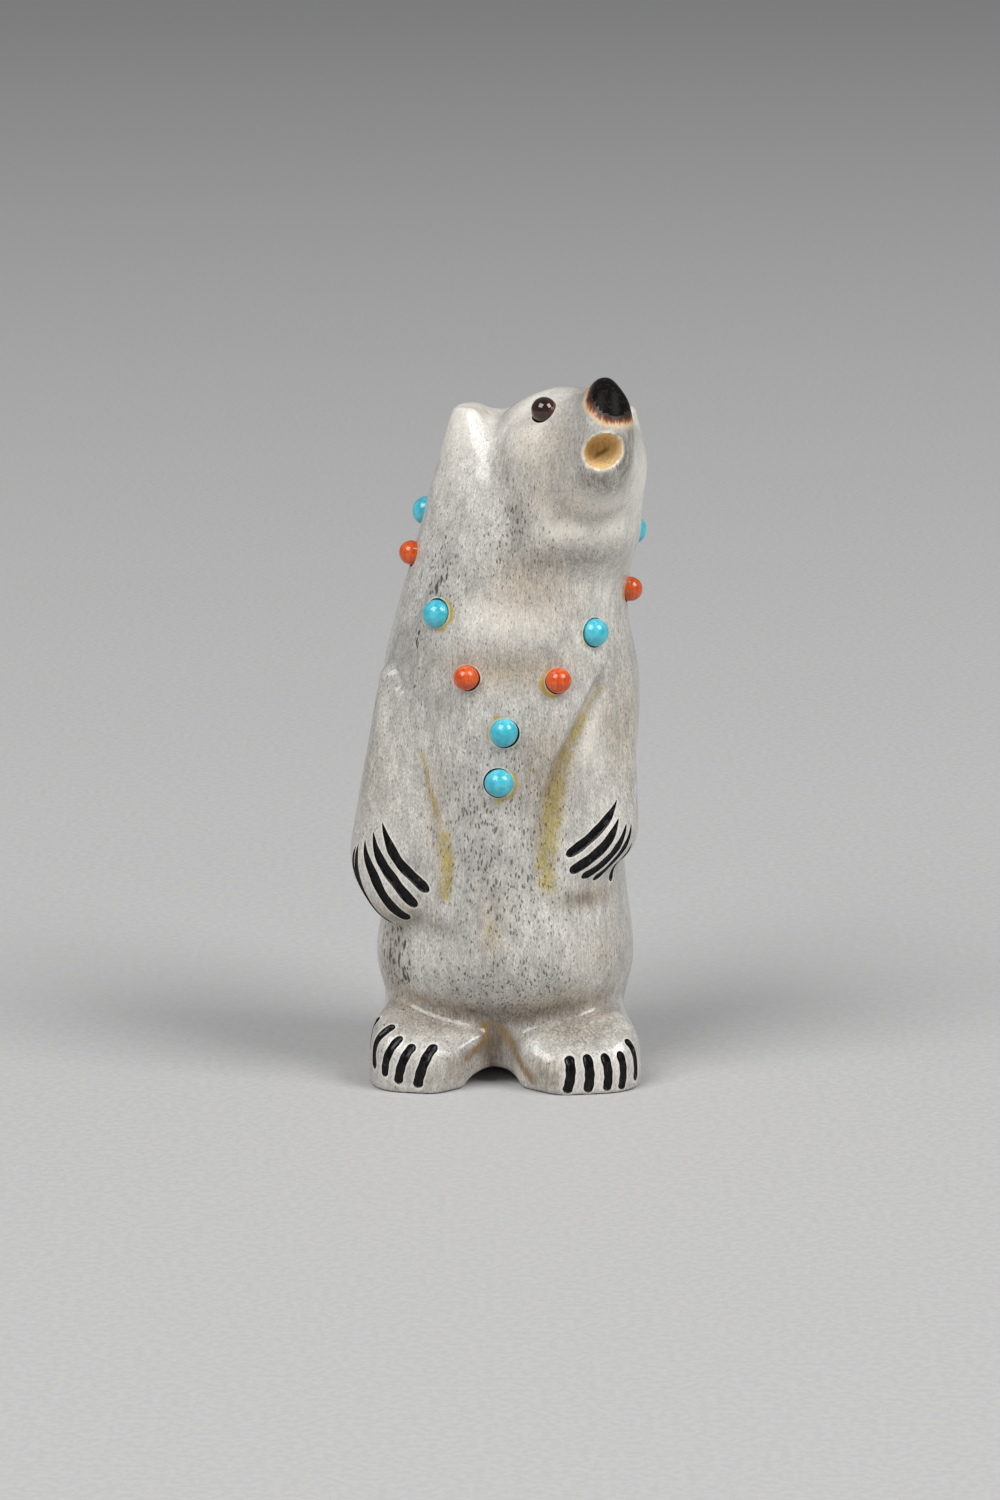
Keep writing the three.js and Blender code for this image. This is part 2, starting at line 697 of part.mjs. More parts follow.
const antler = new THREE.MeshStandardMaterial({ color: 0xcfc6b4, roughness: 0.35 });
const turquoise = new THREE.MeshStandardMaterial({ color: 0x55bfcf, roughness: 0.2 });
const coral = new THREE.MeshStandardMaterial({ color: 0xd4532f, roughness: 0.2 });
const darkStone = new THREE.MeshStandardMaterial({ color: 0x2a1410, roughness: 0.1 });

const bear = new THREE.Group();

function addPiece(name, geometry, material, setting) {
  const piece = new THREE.Mesh(geometry, material);
  piece.name = name;
  if (setting) {
    piece.position.copy(setting.point);
    piece.quaternion.copy(setting.turn);
  }
  bear.add(piece);
}

addPiece('body', geometryOf(body), antler);
addPiece('eye_right', stone(eyeWidth, eyeRise, 0.3), darkStone, rightEye);
addPiece('eye_left', stone(eyeWidth, eyeRise, 0.3), darkStone, leftEye);

const looks = {
  turquoise: { material: turquoise, geometry: stone(turquoiseWidth, turquoiseRise, 0.15) },
  coral: { material: coral, geometry: stone(coralWidth, coralRise, 0.4) },
};
necklaceStones.forEach(({ kind, setting }, i) => {
  const number = String(i + 1).padStart(2, '0');
  addPiece(`${kind}_${number}`, looks[kind].geometry, looks[kind].material, setting);
});

export default bear;
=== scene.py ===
# %% [markdown]
# # A small bear carved from antler
# The real piece is 75 mm high. It is one length of antler, filed and polished into a bear that
# stands upright and sings up over its left shoulder. Small domes of turquoise and coral are set
# round its neck and chest, and its claws are cut in and filled with black.
#
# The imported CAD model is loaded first. It gives the true size and the place of every piece, and
# each finished piece here takes the place of one of its nodes.

import math

import bpy
import numpy as np
from mathutils import Matrix, Vector


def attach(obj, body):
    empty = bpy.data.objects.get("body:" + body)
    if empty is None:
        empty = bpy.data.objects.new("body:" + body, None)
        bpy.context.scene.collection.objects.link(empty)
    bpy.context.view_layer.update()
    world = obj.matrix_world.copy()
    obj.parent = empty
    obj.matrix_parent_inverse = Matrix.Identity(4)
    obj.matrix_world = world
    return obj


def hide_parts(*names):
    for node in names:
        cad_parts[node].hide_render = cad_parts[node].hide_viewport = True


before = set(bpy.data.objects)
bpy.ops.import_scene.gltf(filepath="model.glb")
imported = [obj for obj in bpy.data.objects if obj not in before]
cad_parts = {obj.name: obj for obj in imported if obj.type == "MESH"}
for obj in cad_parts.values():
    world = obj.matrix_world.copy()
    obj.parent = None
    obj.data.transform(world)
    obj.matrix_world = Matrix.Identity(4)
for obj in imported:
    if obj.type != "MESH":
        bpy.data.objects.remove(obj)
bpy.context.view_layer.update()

# %% [markdown]
# ## Camera
# The photograph was taken from a little above the bear's chest with a long lens. The camera
# stands 560 mm from it and looks down by 12 degrees. The focal length follows from the height of
# the bear in the frame, whose long side is 1500 pixels and stands for 36 mm of film.

# %% Camera
MM = 0.001
FILM_SIDE = 36
FRAME_PIXELS = 1500
FOCAL_PIXELS = 5308
LOOK_DOWN = math.radians(12)
CAMERA_DISTANCE = 560
AIM = Vector((-0.3, 0, 34.1))

toward_camera = Vector((0, -math.cos(LOOK_DOWN), math.sin(LOOK_DOWN)))
bpy.ops.object.camera_add(
    location=(AIM + toward_camera * CAMERA_DISTANCE) * MM,
    rotation=(math.pi / 2 - LOOK_DOWN, 0, 0),
)
camera = bpy.context.object
camera.data.sensor_width = FILM_SIDE
camera.data.lens = FOCAL_PIXELS / FRAME_PIXELS * FILM_SIDE
camera.data.clip_start = 0.01
bpy.context.scene.camera = camera
print("lens in mm:", round(camera.data.lens, 1))

# %% [markdown]
# ## Light and floor
# The two small bright windows on each stone show how the photograph was lit: a soft box high on
# either side, in front of the bear. Both aim at its chest. A pale world fills the shadows. The
# floor is wide enough to reach past the top of the frame. These lengths are in metres.

# %% Light and floor
LIGHT_DISTANCE = 1.6
LIT_POINT = Vector((0, 0, 0.045))
FLOOR_RADIUS = 4
SOFT_BOXES = [
    # direction from the bear, side in metres, power in watts
    ((-0.45, -0.475, 0.745), 0.96, 18.0),
    ((0.61, -0.372, 0.703), 0.83, 17.0),
]
FILL_STRENGTH = 0.25


def srgb(red, green, blue):
    """A colour as it is read off a screen, turned into light."""
    shares = [c / 255 for c in (red, green, blue)]
    return [c / 12.92 if c < 0.04 else ((c + 0.055) / 1.055) ** 2.4 for c in shares] + [1]


for direction, side, power in SOFT_BOXES:
    away = Vector(direction).normalized()
    bpy.ops.object.light_add(
        type="AREA",
        location=away * LIGHT_DISTANCE + LIT_POINT,
        rotation=away.to_track_quat("Z", "Y").to_euler(),
    )
    bpy.context.object.data.size = side
    bpy.context.object.data.energy = power

world = bpy.data.worlds.new("pale_room")
bpy.context.scene.world = world
world.use_nodes = True
fill = world.node_tree.nodes["Background"].inputs
fill["Color"].default_value = srgb(236, 238, 242)
fill["Strength"].default_value = FILL_STRENGTH
bpy.context.scene.view_settings.view_transform = "Standard"

bpy.ops.mesh.primitive_circle_add(vertices=64, radius=FLOOR_RADIUS, fill_type="NGON")
floor = bpy.context.object
floor.name = "floor"
print("lights:", len(SOFT_BOXES))

# %% [markdown]
# ## The form of the carving
# The bear has no flat faces and no straight edges, so it isn't built of boxes and cylinders. Its
# form is written as a distance: for any point it says how far the skin is, negative inside. Lumps
# for the skull, muzzle, arms and feet are joined with soft fillets, as a carver rounds over one
# form into the next, and hollows are taken away in the same manner. The same numbers made the
# CAD solid, with far fewer faces and a mouth that is 0.2 mm wider. Lengths are in millimetres.

# %% Joining forms
def blend(a, b, soft):
    """Both forms in one, with a fillet where they meet."""
    h = np.clip(0.5 + 0.5 * (b - a) / soft, 0, 1)
    return b * (1 - h) + a * h - soft * h * (1 - h)


def cut_away(a, b, soft):
    """The first form without the second, with a rounded edge."""
    return -blend(-a, b, soft)


def overlap(a, b, soft):
    """What both forms share, with a rounded edge."""
    return -blend(-a, -b, soft)


def turn_of(yaw=0, pitch=0, roll=0):
    """The turn of a lump: rolled, pitched up, then turned, in degrees."""
    turns = [("Z", yaw), ("X", pitch), ("Y", roll)]
    matrices = [np.array(Matrix.Rotation(math.radians(a), 3, axis)) for axis, a in turns]
    return matrices[0] @ matrices[1] @ matrices[2]


def lump(points, centre, radii, turn=(0, 0, 0), power=2):
    """An ellipsoid, or with a higher power a boxier one."""
    q = np.abs((points - centre) @ turn_of(*turn) / radii) + 1e-9
    size = (q**power).sum(-1) ** (1 / power)
    slope = np.sqrt(((q ** (power - 1) / radii) ** 2).sum(-1)) * size ** (1 - power)
    return (size - 1) / slope


def tapered_limb(points, start, end, start_radius, end_radius):
    """Two balls and the cone that touches both."""
    start, end = np.array(start, float), np.array(end, float)
    along = end - start
    length_sq = along @ along
    taper = start_radius - end_radius
    cone_sq = length_sq - taper * taper
    from_start = points - start
    y = from_start @ along
    z = y - length_sq
    across_sq = ((from_start * length_sq - y[..., None] * along) ** 2).sum(-1)
    limit = np.sign(taper) * taper * taper * across_sq
    past_end = np.sign(z) * cone_sq * z * z * length_sq > limit
    past_start = np.sign(y) * cone_sq * y * y * length_sq < limit
    side = (np.sqrt(across_sq * cone_sq / length_sq) + y * taper) / length_sq - start_radius
    cap_end = np.sqrt(across_sq + z * z * length_sq) / length_sq - end_radius
    cap_start = np.sqrt(across_sq + y * y * length_sq) / length_sq - start_radius
    return np.where(past_end, cap_end, np.where(past_start, cap_start, side))


print("half way up a ball of 2 mm:", lump(np.array([[0, 0, 1.0]]), (0, 0, 0), (2, 2, 2)))

# %% [markdown]
# ## The trunk
# From the feet to the tips of the ears the trunk is an oval whose width and depth change with
# height. Smooth curves run through a few measured ovals. The two dips at the top are the spaces
# between the ears and the skull.

# %% The trunk
BODY_STATIONS = np.array([
    # height, right side, left side, front, back
    (-3, -11.4, 12.0, 8.4, 10.4),
    (3, -11.6, 12.4, 8.7, 10.7),
    (7.2, -12.2, 12.9, 9.5, 11.0),
    (9.2, -12.75, 13.35, 10.7, 11.35),
    (11.5, -13.3, 13.8, 12.0, 11.8),
    (17, -12.85, 13.4, 12.6, 12.0),
    (25, -12.4, 12.95, 11.9, 12.0),
    (35, -12.3, 14.2, 11.3, 11.8),
    (44, -12.4, 14.1, 11.1, 11.5),
    (50, -10.95, 13.1, 10.8, 11.0),
    (56.5, -9.1, 13.95, 10.0, 10.4),
    (61, -7.9, 14.7, 8.8, 9.8),
    (66, -6.55, 14.75, 6.7, 8.4),
    (70.5, -5.2, 13.8, 3.3, 6.0),
    (75, -3.2, 12.0, 1.6, 4.0),
])
EAR_TOP = 70.65
EAR_EDGE = 0.4
VALLEY_RADIUS = 2.4
VALLEY_STRETCH = 1.15


def spline_bends(heights, values):
    """How strongly the smooth curve through the stations bends at each of them."""
    count = len(heights)
    rows, sums = np.eye(count), np.zeros(count)
    for i in range(1, count - 1):
        below, above = heights[i] - heights[i - 1], heights[i + 1] - heights[i]
        rows[i, i - 1 : i + 2] = below, 2 * (below + above), above
        rise = (values[i + 1] - values[i]) / above - (values[i] - values[i - 1]) / below
        sums[i] = 6 * rise
    return np.linalg.solve(rows, sums)


def smooth_curves(stations):
    """A function that gives one measure of a part's section at each height."""
    heights = stations[:, 0]
    bends = [spline_bends(heights, column) for column in stations.T]

    def measure(z, column):
        values = stations[:, column]
        z = np.clip(z, heights[0], heights[-1])
        i = np.clip(np.searchsorted(heights, z) - 1, 0, len(heights) - 2)
        span = heights[i + 1] - heights[i]
        b = (z - heights[i]) / span
        a = 1 - b
        bend = (a**3 - a) * bends[column][i] + (b**3 - b) * bends[column][i + 1]
        return a * values[i] + b * values[i + 1] + bend * span * span / 6

    return measure


body_section = smooth_curves(BODY_STATIONS)


def trunk(points):
    x, y, z = points[..., 0], points[..., 1], points[..., 2]
    right, left = body_section(z, 1), body_section(z, 2)
    depth = np.where(y < 0, body_section(z, 3), body_section(z, 4))
    half = (left - right) / 2
    u, v = (x - (left + right) / 2) / half, y / depth
    size = np.hypot(u, v)
    slope = np.maximum(np.hypot(u / half, v / depth), 1e-6)
    return overlap(size * (size - 1) / slope, z - EAR_TOP, EAR_EDGE)


def ear_valley(points, x, roll):
    """A dip between an ear and the skull, which runs from front to back."""
    q = (points - (x, 2.5, 72.2)) @ turn_of(pitch=10, roll=roll)
    return np.hypot(q[..., 0], q[..., 2] / VALLEY_STRETCH) - VALLEY_RADIUS


print("left side at the elbows:", body_section(np.array([44.0]), 2))

# %% [markdown]
# ## Head and arms
# The head is a round skull whose jaw runs into a blunt muzzle. The muzzle points up and to the
# bear's left, and a flat facet on either side narrows its tip. The arms lie against the trunk.

# %% Head and arms
def plane(points, through, normal):
    """A flat cut: what lies on the side that the normal points to is outside."""
    normal = np.array(normal) / np.linalg.norm(normal)
    return (points - through) @ normal


def head(points):
    skull = lump(points, (5.9, -1.2, 63.4), (7.9, 8.0, 7.9), (15, 0, 6), 2.7)
    jowl = lump(points, (8.5, -4.2, 64.9), (6.0, 6.5, 5.6), (17, -15, 0))
    q = (points - (10.2, -12.0, 68.6)) @ turn_of(19, -17) * (1, 1, 0.58)
    muzzle = tapered_limb(q, (0, 9.5, -0.9), (0, 0.7, 0), 4.7, 3.1)
    snout = lump(points, (10.2, -12.1, 69.4), (2.95, 3.4, 6.0), (19, -10, 6))
    right_facet = plane(points, (8.75, -12.0, 73.2), (-0.93, -0.1, 0.35))
    left_facet = plane(points, (12.3, -12.5, 73.9), (0.79, 0.05, 0.6))
    snout = overlap(snout, np.maximum(right_facet, left_facet), 0.4)
    whole = blend(blend(skull, jowl, 2.0), muzzle, 4.2)
    return blend(whole, snout, 1.2)


def arms(points):
    """Each arm is a long taper with a ridge along its inner side, and ends in a paw."""
    right = tapered_limb(points, (-11.3, -4.0, 42.6), (-10.9, -5.1, 25.4), 1.6, 5.0)
    right_ridge = tapered_limb(points, (-10.2, -6.2, 41), (-9.2, -7.0, 25), 0.5, 2.9)
    right_paw = lump(points, (-10.6, -5.5, 22.3), (4.7, 4.5, 5.6), (0, -13, -30), 2.5)
    left = tapered_limb(points, (12.1, -3.6, 42.6), (9.9, -4.8, 27.2), 1.5, 4.3)
    left_ridge = tapered_limb(points, (11.2, -6.0, 41), (8.8, -7.0, 27), 0.5, 2.7)
    left_paw = lump(points, (8.6, -5.7, 25.3), (3.7, 4.4, 5.7), (0, -13, 42), 2.3)
    right = blend(blend(right, right_ridge, 1.5), right_paw, 0.9)
    left = blend(blend(left, left_ridge, 1.5), left_paw, 0.9)
    return np.minimum(right, left)


print("the middle of the skull lies this far inside:", head(np.array([[5.9, -1.2, 63.4]])))

# %% [markdown]
# ## Grooves and feet
# A furrow runs down the inner edge of each arm. The feet are two boxy lumps with a sloping
# instep, and between them lies a fork that opens into a low arch at the floor. Grooves and fork
# lean, so a distance that is measured level is a little too long, and is divided by its excess.

# %% Grooves and feet
GROOVE_LEAN = 1.1
FORK_LEAN = 1.04

RIGHT_GROOVE = np.array([
    # height, place across, place in depth and radius of the groove along the arm
    (16, -6.2, -12.6, -0.6),
    (19, -6.1, -12.2, 0.5),
    (23, -5.7, -11.9, 1.2),
    (27, -6.1, -11.2, 1.3),
    (31, -6.8, -10.6, 1.2),
    (35, -7.6, -9.8, 1.0),
    (39, -8.3, -8.9, 0.7),
    (42, -9.0, -8.2, 0.4),
    (45, -9.8, -7.6, -0.4),
])
LEFT_GROOVE = np.array([
    (16, 4.9, -12.9, -0.8),
    (19, 4.8, -12.8, 0.5),
    (22, 4.6, -12.6, 1.4),
    (26, 4.5, -12.3, 1.8),
    (30, 5.1, -11.8, 1.7),
    (34, 6.3, -11.0, 1.4),
    (38, 8.0, -9.9, 1.1),
    (42, 9.7, -8.6, 0.7),
    (44.5, 10.7, -7.9, 0.2),
    (47, 11.6, -7.4, -0.8),
])
groove_sections = [smooth_curves(RIGHT_GROOVE), smooth_curves(LEFT_GROOVE)]


def grooves(points):
    """The furrows along the inner edges of the arms."""
    x, y, z = points[..., 0], points[..., 1], points[..., 2]
    return np.minimum.reduce([
        (np.hypot(x - section(z, 1), y - section(z, 2)) - section(z, 3)) / GROOVE_LEAN
        for section in groove_sections
    ])


def feet(points):
    right = lump(points, (-7.0, -4.9, 1.2), (6.7, 7.9, 7.7), (-8, 0, 0), 3.4)
    left = lump(points, (7.4, -5.1, 1.0), (7.0, 8.1, 7.1), (7, 0, 0), 3.0)
    instep = plane(points, (0, -9.0, 6.9), (0, -0.55, 0.83))
    return overlap(blend(right, left, 1.2), instep, 1.5)


def notch(points):
    """The fork of the feet: two flanks that meet in a crease, and a low arch at the floor."""
    side = np.abs(points[..., 0] + 1.05)
    crease = -10.3 + 0.35 * (7.2 - points[..., 2]) - 0.3 * np.maximum(points[..., 2] - 5, 0) ** 2
    slant = math.radians(50)
    fork = side * math.cos(slant) - (crease - points[..., 1]) * math.sin(slant)
    arch = lump(points, (-1.05, -10.5, -1.3), (3.4, 8.5, 3.2))
    return blend(fork / FORK_LEAN, arch, 0.5)


print("heights of the grooves:", [stations[[0, -1], 0] for stations in (RIGHT_GROOVE, LEFT_GROOVE)])

# %% [markdown]
# ## The whole form
# The mouth is a round hollow in the end of the muzzle, open as if the bear were singing. A
# carver's hand is never quite even, so a few long, shallow waves lie over the whole surface.

# %% The whole form
MOUTH = ((10.14, -15.2, 68.3), (1.93, 2.2, 1.62), (14, -8, -30))

PRESSES = [
    # centre, radii and depth of the shallow hollows of the chest, and of one low swell
    ((6.0, -10.0, 53.5), (6.5, 4.0, 2.8), 0.35),
    ((0.7, -11.3, 44.3), (8.0, 4.0, 2.2), 0.35),
    ((-0.5, -11.0, 48.5), (9.0, 4.0, 2.2), -0.25),
]

WAVES = 14
WAVE_HEIGHT = 0.035 / 3  # of each wave; together they move the skin by some 0.03 mm
UPRIGHT_SHARE = 0.45

hand = np.random.default_rng(11)
wave_lengths = np.linspace(3, 11, WAVES)
wave_directions = hand.normal(size=(WAVES, 3)) * (1, 1, UPRIGHT_SHARE)
wave_directions *= (2 * math.pi / wave_lengths / np.linalg.norm(wave_directions, axis=1))[:, None]
wave_starts = hand.uniform(0, 2 * math.pi, WAVES)


def carving(points):
    """Distance from each point to the skin of the whole carving, negative inside."""
    valleys = np.minimum(ear_valley(points, -0.2, -8), ear_valley(points, 8.9, 8))
    collar = lump(points, (7.4, -4.2, 59.0), (6.4, 6.4, 4.6), (10, 0, 12))
    throat = lump(points, (8.6, -16.0, 66.9), (9.4, 8.5, 9.3), (8, 0, 20))
    form = cut_away(trunk(points), valleys, 1.2)
    form = blend(form, collar, 2.5)
    form = cut_away(form, throat, 0.8)
    form = blend(form, head(points), 1.0)
    form = blend(form, arms(points), 0.8)
    form = cut_away(form, grooves(points), 0.7)
    form = blend(form, feet(points), 1.5)
    form = cut_away(form, notch(points), 0.7)
    form = cut_away(form, lump(points, *MOUTH), 0.35)
    for centre, radii, depth in PRESSES:
        form = form + depth * np.exp(-((((points - centre) / radii) ** 2).sum(-1)))
    waves = np.sin(points @ wave_directions.T + wave_starts).sum(-1) * WAVE_HEIGHT
    return overlap(form + waves, -points[..., 2], 0.5)


def outward(points, step=0.02):
    """The direction out of the carving at each point."""
    here = carving(points)
    slopes = np.stack([carving(points + e) - here for e in np.eye(3) * step], -1)
    return slopes / np.linalg.norm(slopes, axis=-1, keepdims=True)


def onto_skin(points, rounds=3):
    """Moves each point to the skin of the carving, straight in or out."""
    points = np.array(points, float)
    for _ in range(rounds):
        points -= outward(points) * carving(points)[..., None]
    return points


print("a point put on the chest:", onto_skin([[0, -14, 40.0]]).round(2))

# %% [markdown]
# ## The skin
# The CAD body is the rough block. A copy of it is merged, because its triangles are loose, and
# the Remesh modifier gives it small even faces. Every corner is then drawn onto the form. A
# second pass, finer than the first, evens out what the first one stretched. All of this is done
# a thousand times too large, one unit to the millimetre, because Blender's tools merge points
# that are closer than their own small tolerances.

# %% The skin
ROUGH_VOXEL = 0.7
FINE_VOXEL = 0.33
LOOSE_GAP = 0.005


def only(obj):
    """Makes one object the selected and active one."""
    if bpy.context.object and bpy.context.object.mode != "OBJECT":
        bpy.ops.object.mode_set(mode="OBJECT")
    bpy.ops.object.select_all(action="DESELECT")
    obj.select_set(True)
    bpy.context.view_layer.objects.active = obj
    return obj


def apply_modifier(obj, kind, **settings):
    modifier = obj.modifiers.new(kind.lower(), kind)
    for name, value in settings.items():
        setattr(modifier, name, value)
    only(obj)
    bpy.ops.object.modifier_apply(modifier=modifier.name)


def corners_of(obj):
    places = np.zeros(len(obj.data.vertices) * 3, np.float32)
    obj.data.vertices.foreach_get("co", places)
    return places.reshape(-1, 3).astype(float)


def move_corners(obj, places):
    obj.data.vertices.foreach_set("co", np.ascontiguousarray(places, np.float32).ravel())
    obj.data.update()


def new_piece(name, mesh):
    piece = bpy.data.objects.new(name, mesh)
    bpy.context.scene.collection.objects.link(piece)
    return piece


bear = new_piece("bear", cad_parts["body"].data.copy())
bear.data.materials.clear()
bear.data.transform(Matrix.Scale(1 / MM, 4))
only(bear)
bpy.ops.object.mode_set(mode="EDIT")
bpy.ops.mesh.select_all(action="SELECT")
bpy.ops.mesh.remove_doubles(threshold=LOOSE_GAP)
bpy.ops.object.mode_set(mode="OBJECT")
for voxel in (ROUGH_VOXEL, FINE_VOXEL):
    apply_modifier(bear, "REMESH", mode="VOXEL", voxel_size=voxel)
    move_corners(bear, onto_skin(corners_of(bear)))
print("faces of the skin:", len(bear.data.polygons))

# %% [markdown]
# ## Where the stones sit
# Each stone of the CAD model is a body of revolution, so the mean of its corners lies on its
# axis. That point, drawn onto the skin, is the stone's place. The drill and the glue were never
# quite true: on one side of each stone a dark gap shows, and on another some yellow glue.

# %% Where the stones sit
STONE_WIDTHS = {"turquoise": 3.0, "coral": 2.6, "eye": 2.8}
STONE_SIDES = {
    # the clock directions, in degrees, of the gap and of the glue round each stone, and how
    # much of the glue shows
    "turquoise_01": (90, 120, 0.4),
    "coral_02": (150, 90, 0.3),
    "turquoise_03": (20, 110, 1.0),
    "coral_04": (125, 340, 0.25),
    "turquoise_05": (130, 300, 0.7),
    "turquoise_06": (285, 120, 0.9),
    "coral_07": (190, 255, 1.0),
    "turquoise_08": (275, 225, 0.45),
    "coral_09": (200, 235, 0.9),
    "turquoise_10": (270, 200, 0.4),
    "coral_11": (30, 160, 0.6),
    "turquoise_12": (240, 80, 0.7),
    "coral_13": (120, 300, 0.5),
    "turquoise_14": (310, 190, 0.8),
    "coral_15": (70, 250, 0.6),
    "eye_right": (225, 45, 0.15),
    "eye_left": (140, 320, 0.15),
}


class Setting:
    """A stone's place on the skin, with the directions out, up and right as seen from outside."""

    def __init__(self, name):
        self.name = name
        self.kind = name.split("_")[0]
        self.radius = STONE_WIDTHS[self.kind] / 2
        self.gap_clock, self.glue_clock, self.glue_share = STONE_SIDES[name]
        middle = corners_of(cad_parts[name]).mean(0) / MM
        self.point = onto_skin(middle[None], 6)[0]
        self.out = outward(self.point[None])[0]
        up = np.array([0, 0, 1.0]) - self.out * self.out[2]
        self.up = up / np.linalg.norm(up)
        self.right = np.cross(self.up, self.out)

    def toward(self, clock):
        """The direction along the skin at a clock angle, 0 up and 90 right."""
        angle = math.radians(clock)
        return self.up * math.cos(angle) + self.right * math.sin(angle)

    def matrix(self, shift=(0, 0, 0)):
        """Takes a piece made at the origin, with its dome up along Z, to its place."""
        turn = Matrix(np.stack([self.right, self.up, self.out], 1).tolist()).to_4x4()
        return Matrix.Translation(self.point + np.array(shift)) @ turn


settings = [Setting(name) for name in STONE_SIDES]
print("settings:", len(settings))

# %% [markdown]
# ## Cutting the seats
# A seat is a short drilled hole, so its cutter is a cylinder, a little wider than the stone and
# set a little to one side of it.

# %% Cutting the seats
SEAT_CLEARANCE = 0.06
SEAT_SHIFT = 0.1
SEAT_DEPTH = 0.9
DRILL_REACH = 1.5

cutters = []
for setting in settings:
    shift = setting.toward(setting.gap_clock) * SEAT_SHIFT
    shift = shift + setting.out * (DRILL_REACH - SEAT_DEPTH) / 2
    bpy.ops.mesh.primitive_cylinder_add(
        vertices=36, radius=setting.radius + SEAT_CLEARANCE, depth=DRILL_REACH + SEAT_DEPTH
    )
    drill = bpy.context.object
    drill.data.transform(setting.matrix(shift))
    cutters.append(drill)
print("seats:", len(cutters))

# %% [markdown]
# ## Cutting the claws
# Each claw is one stroke of a graver, filled with black that lies almost flush. It starts as a
# point, or as a round end on the feet, and stops blunt. A cutter starts as a sphere: its poles
# become the two ends of the stroke, and each ring between them is moved to its place along the
# curved path and shaped to the stroke's width and depth there.

# %% Cutting the claws
CLAWS = [
    # group, start, end, width
    ("hand", (-15.5, -7.6, 25.5), (-13.7, -6.7, 19.1), 1.0),
    ("hand", (-15.2, -8.0, 25.9), (-11.2, -7.3, 18.1), 1.1),
    ("hand", (-14.5, -8.7, 26.5), (-9.8, -8.7, 18.5), 1.12),
    ("hand", (-13.6, -9.2, 27.4), (-9.0, -9.6, 19.6), 1.1),
    ("hand", (-12.6, -9.3, 28.4), (-7.7, -9.9, 21.1), 1.08),
    ("hand", (12.0, -8.3, 30.6), (6.6, -10.5, 25.1), 1.05),
    ("hand", (12.3, -8.9, 28.8), (7.0, -10.5, 23.3), 1.15),
    ("hand", (13.2, -8.4, 28.1), (8.3, -10.1, 22.5), 1.0),
    ("hand", (13.8, -7.8, 28.0), (9.7, -9.2, 21.9), 0.88),
    ("hand", (13.8, -7.2, 25.6), (11.7, -6.5, 21.4), 0.85),
    ("foot", (-12.6, -7.5, 6.6), (-13.9, -7.9, 3.5), 0.95),
    ("foot", (-11.3, -9.3, 6.4), (-13.2, -10.1, 2.1), 0.95),
    ("foot", (-10.5, -10.7, 5.6), (-12.2, -11.3, 1.6), 0.95),
    ("foot", (-9.2, -11.5, 5.0), (-10.9, -12.1, 1.0), 1.0),
    ("foot", (-6.9, -11.6, 5.0), (-8.9, -12.6, 0.7), 1.06),
    ("foot", (6.8, -12.5, 4.1), (6.6, -13.3, 0.3), 1.08),
    ("foot", (8.6, -12.3, 4.2), (8.8, -13.0, 0.3), 1.04),
    ("foot", (10.4, -12.0, 4.2), (10.8, -12.6, 0.4), 0.98),
    ("foot", (12.0, -11.5, 4.3), (12.3, -12.0, 0.4), 0.94),
    ("foot", (12.7, -10.3, 5.2), (13.8, -10.5, 0.9), 0.92),
]
CLAW_BOW = 0.08
CLAW_DEPTH = 0.22
CLAW_LIFT = 0.4
CLAW_WAVER = 0.05
WAVER_SPEED = 23
CLAW_WIDENING = {"hand": 0.35, "foot": 0.14}
CLAW_END = 0.1
CLAW_STEP = 0.02
GROUND_GAP = 0.15

claw_hand = np.random.default_rng(5)


def claw_path(start, end, shares):
    """Points along a stroke on the skin, which bows away from the middle of the bear."""
    start, end = onto_skin([start, end])
    side = np.cross(end - start, outward(start[None])[0])
    side /= np.linalg.norm(side)
    bow = np.linalg.norm(end - start) * CLAW_BOW * (np.sign(side[0] * start[0]) or 1)
    t = shares[:, None]
    points = start * (1 - t) + end * t + side * bow * 4 * t * (1 - t)
    points[:, 2] = np.maximum(points[:, 2], GROUND_GAP)
    return onto_skin(points)


def claw_width(group, t):
    """The width along the stroke as a share of its greatest width."""
    rise = np.clip(t / CLAW_WIDENING[group], 0, 1)
    start = rise**0.75 if group == "hand" else np.sqrt(1 - (1 - rise) ** 2)
    end = np.sqrt(1 - ((t - (1 - CLAW_END)) / CLAW_END).clip(0, 1) ** 2)
    return start * end * (1 + CLAW_WAVER * np.sin(t * WAVER_SPEED + claw_hand.uniform(0, 6)))


claw_marks = []
for group, start, end, width in CLAWS:
    bpy.ops.mesh.primitive_uv_sphere_add(segments=12, ring_count=30, radius=1)
    graver = bpy.context.object
    ball = corners_of(graver)
    t = (1 - ball[:, 2]) / 2
    path = claw_path(start, end, t)
    out = outward(path)
    ahead = claw_path(start, end, np.clip(t + CLAW_STEP, 0, 1))
    ahead -= claw_path(start, end, t - CLAW_STEP)
    across = np.cross(ahead, out)
    across /= np.linalg.norm(across, axis=1, keepdims=True)
    ring = ball[:, :2] / np.maximum(np.hypot(ball[:, 0], ball[:, 1]), 1e-6)[:, None]
    reach = claw_width(group, t) * width / 2
    deep = np.where(ring[:, 1] < 0, CLAW_DEPTH * np.sqrt(reach * 2 / width), CLAW_LIFT)
    sideways, up = across * (ring[:, 0] * reach)[:, None], out * (ring[:, 1] * deep)[:, None]
    move_corners(graver, path + sideways + up)
    claw_marks.append((path, reach))
    cutters.append(graver)
print("claws:", len(claw_marks))

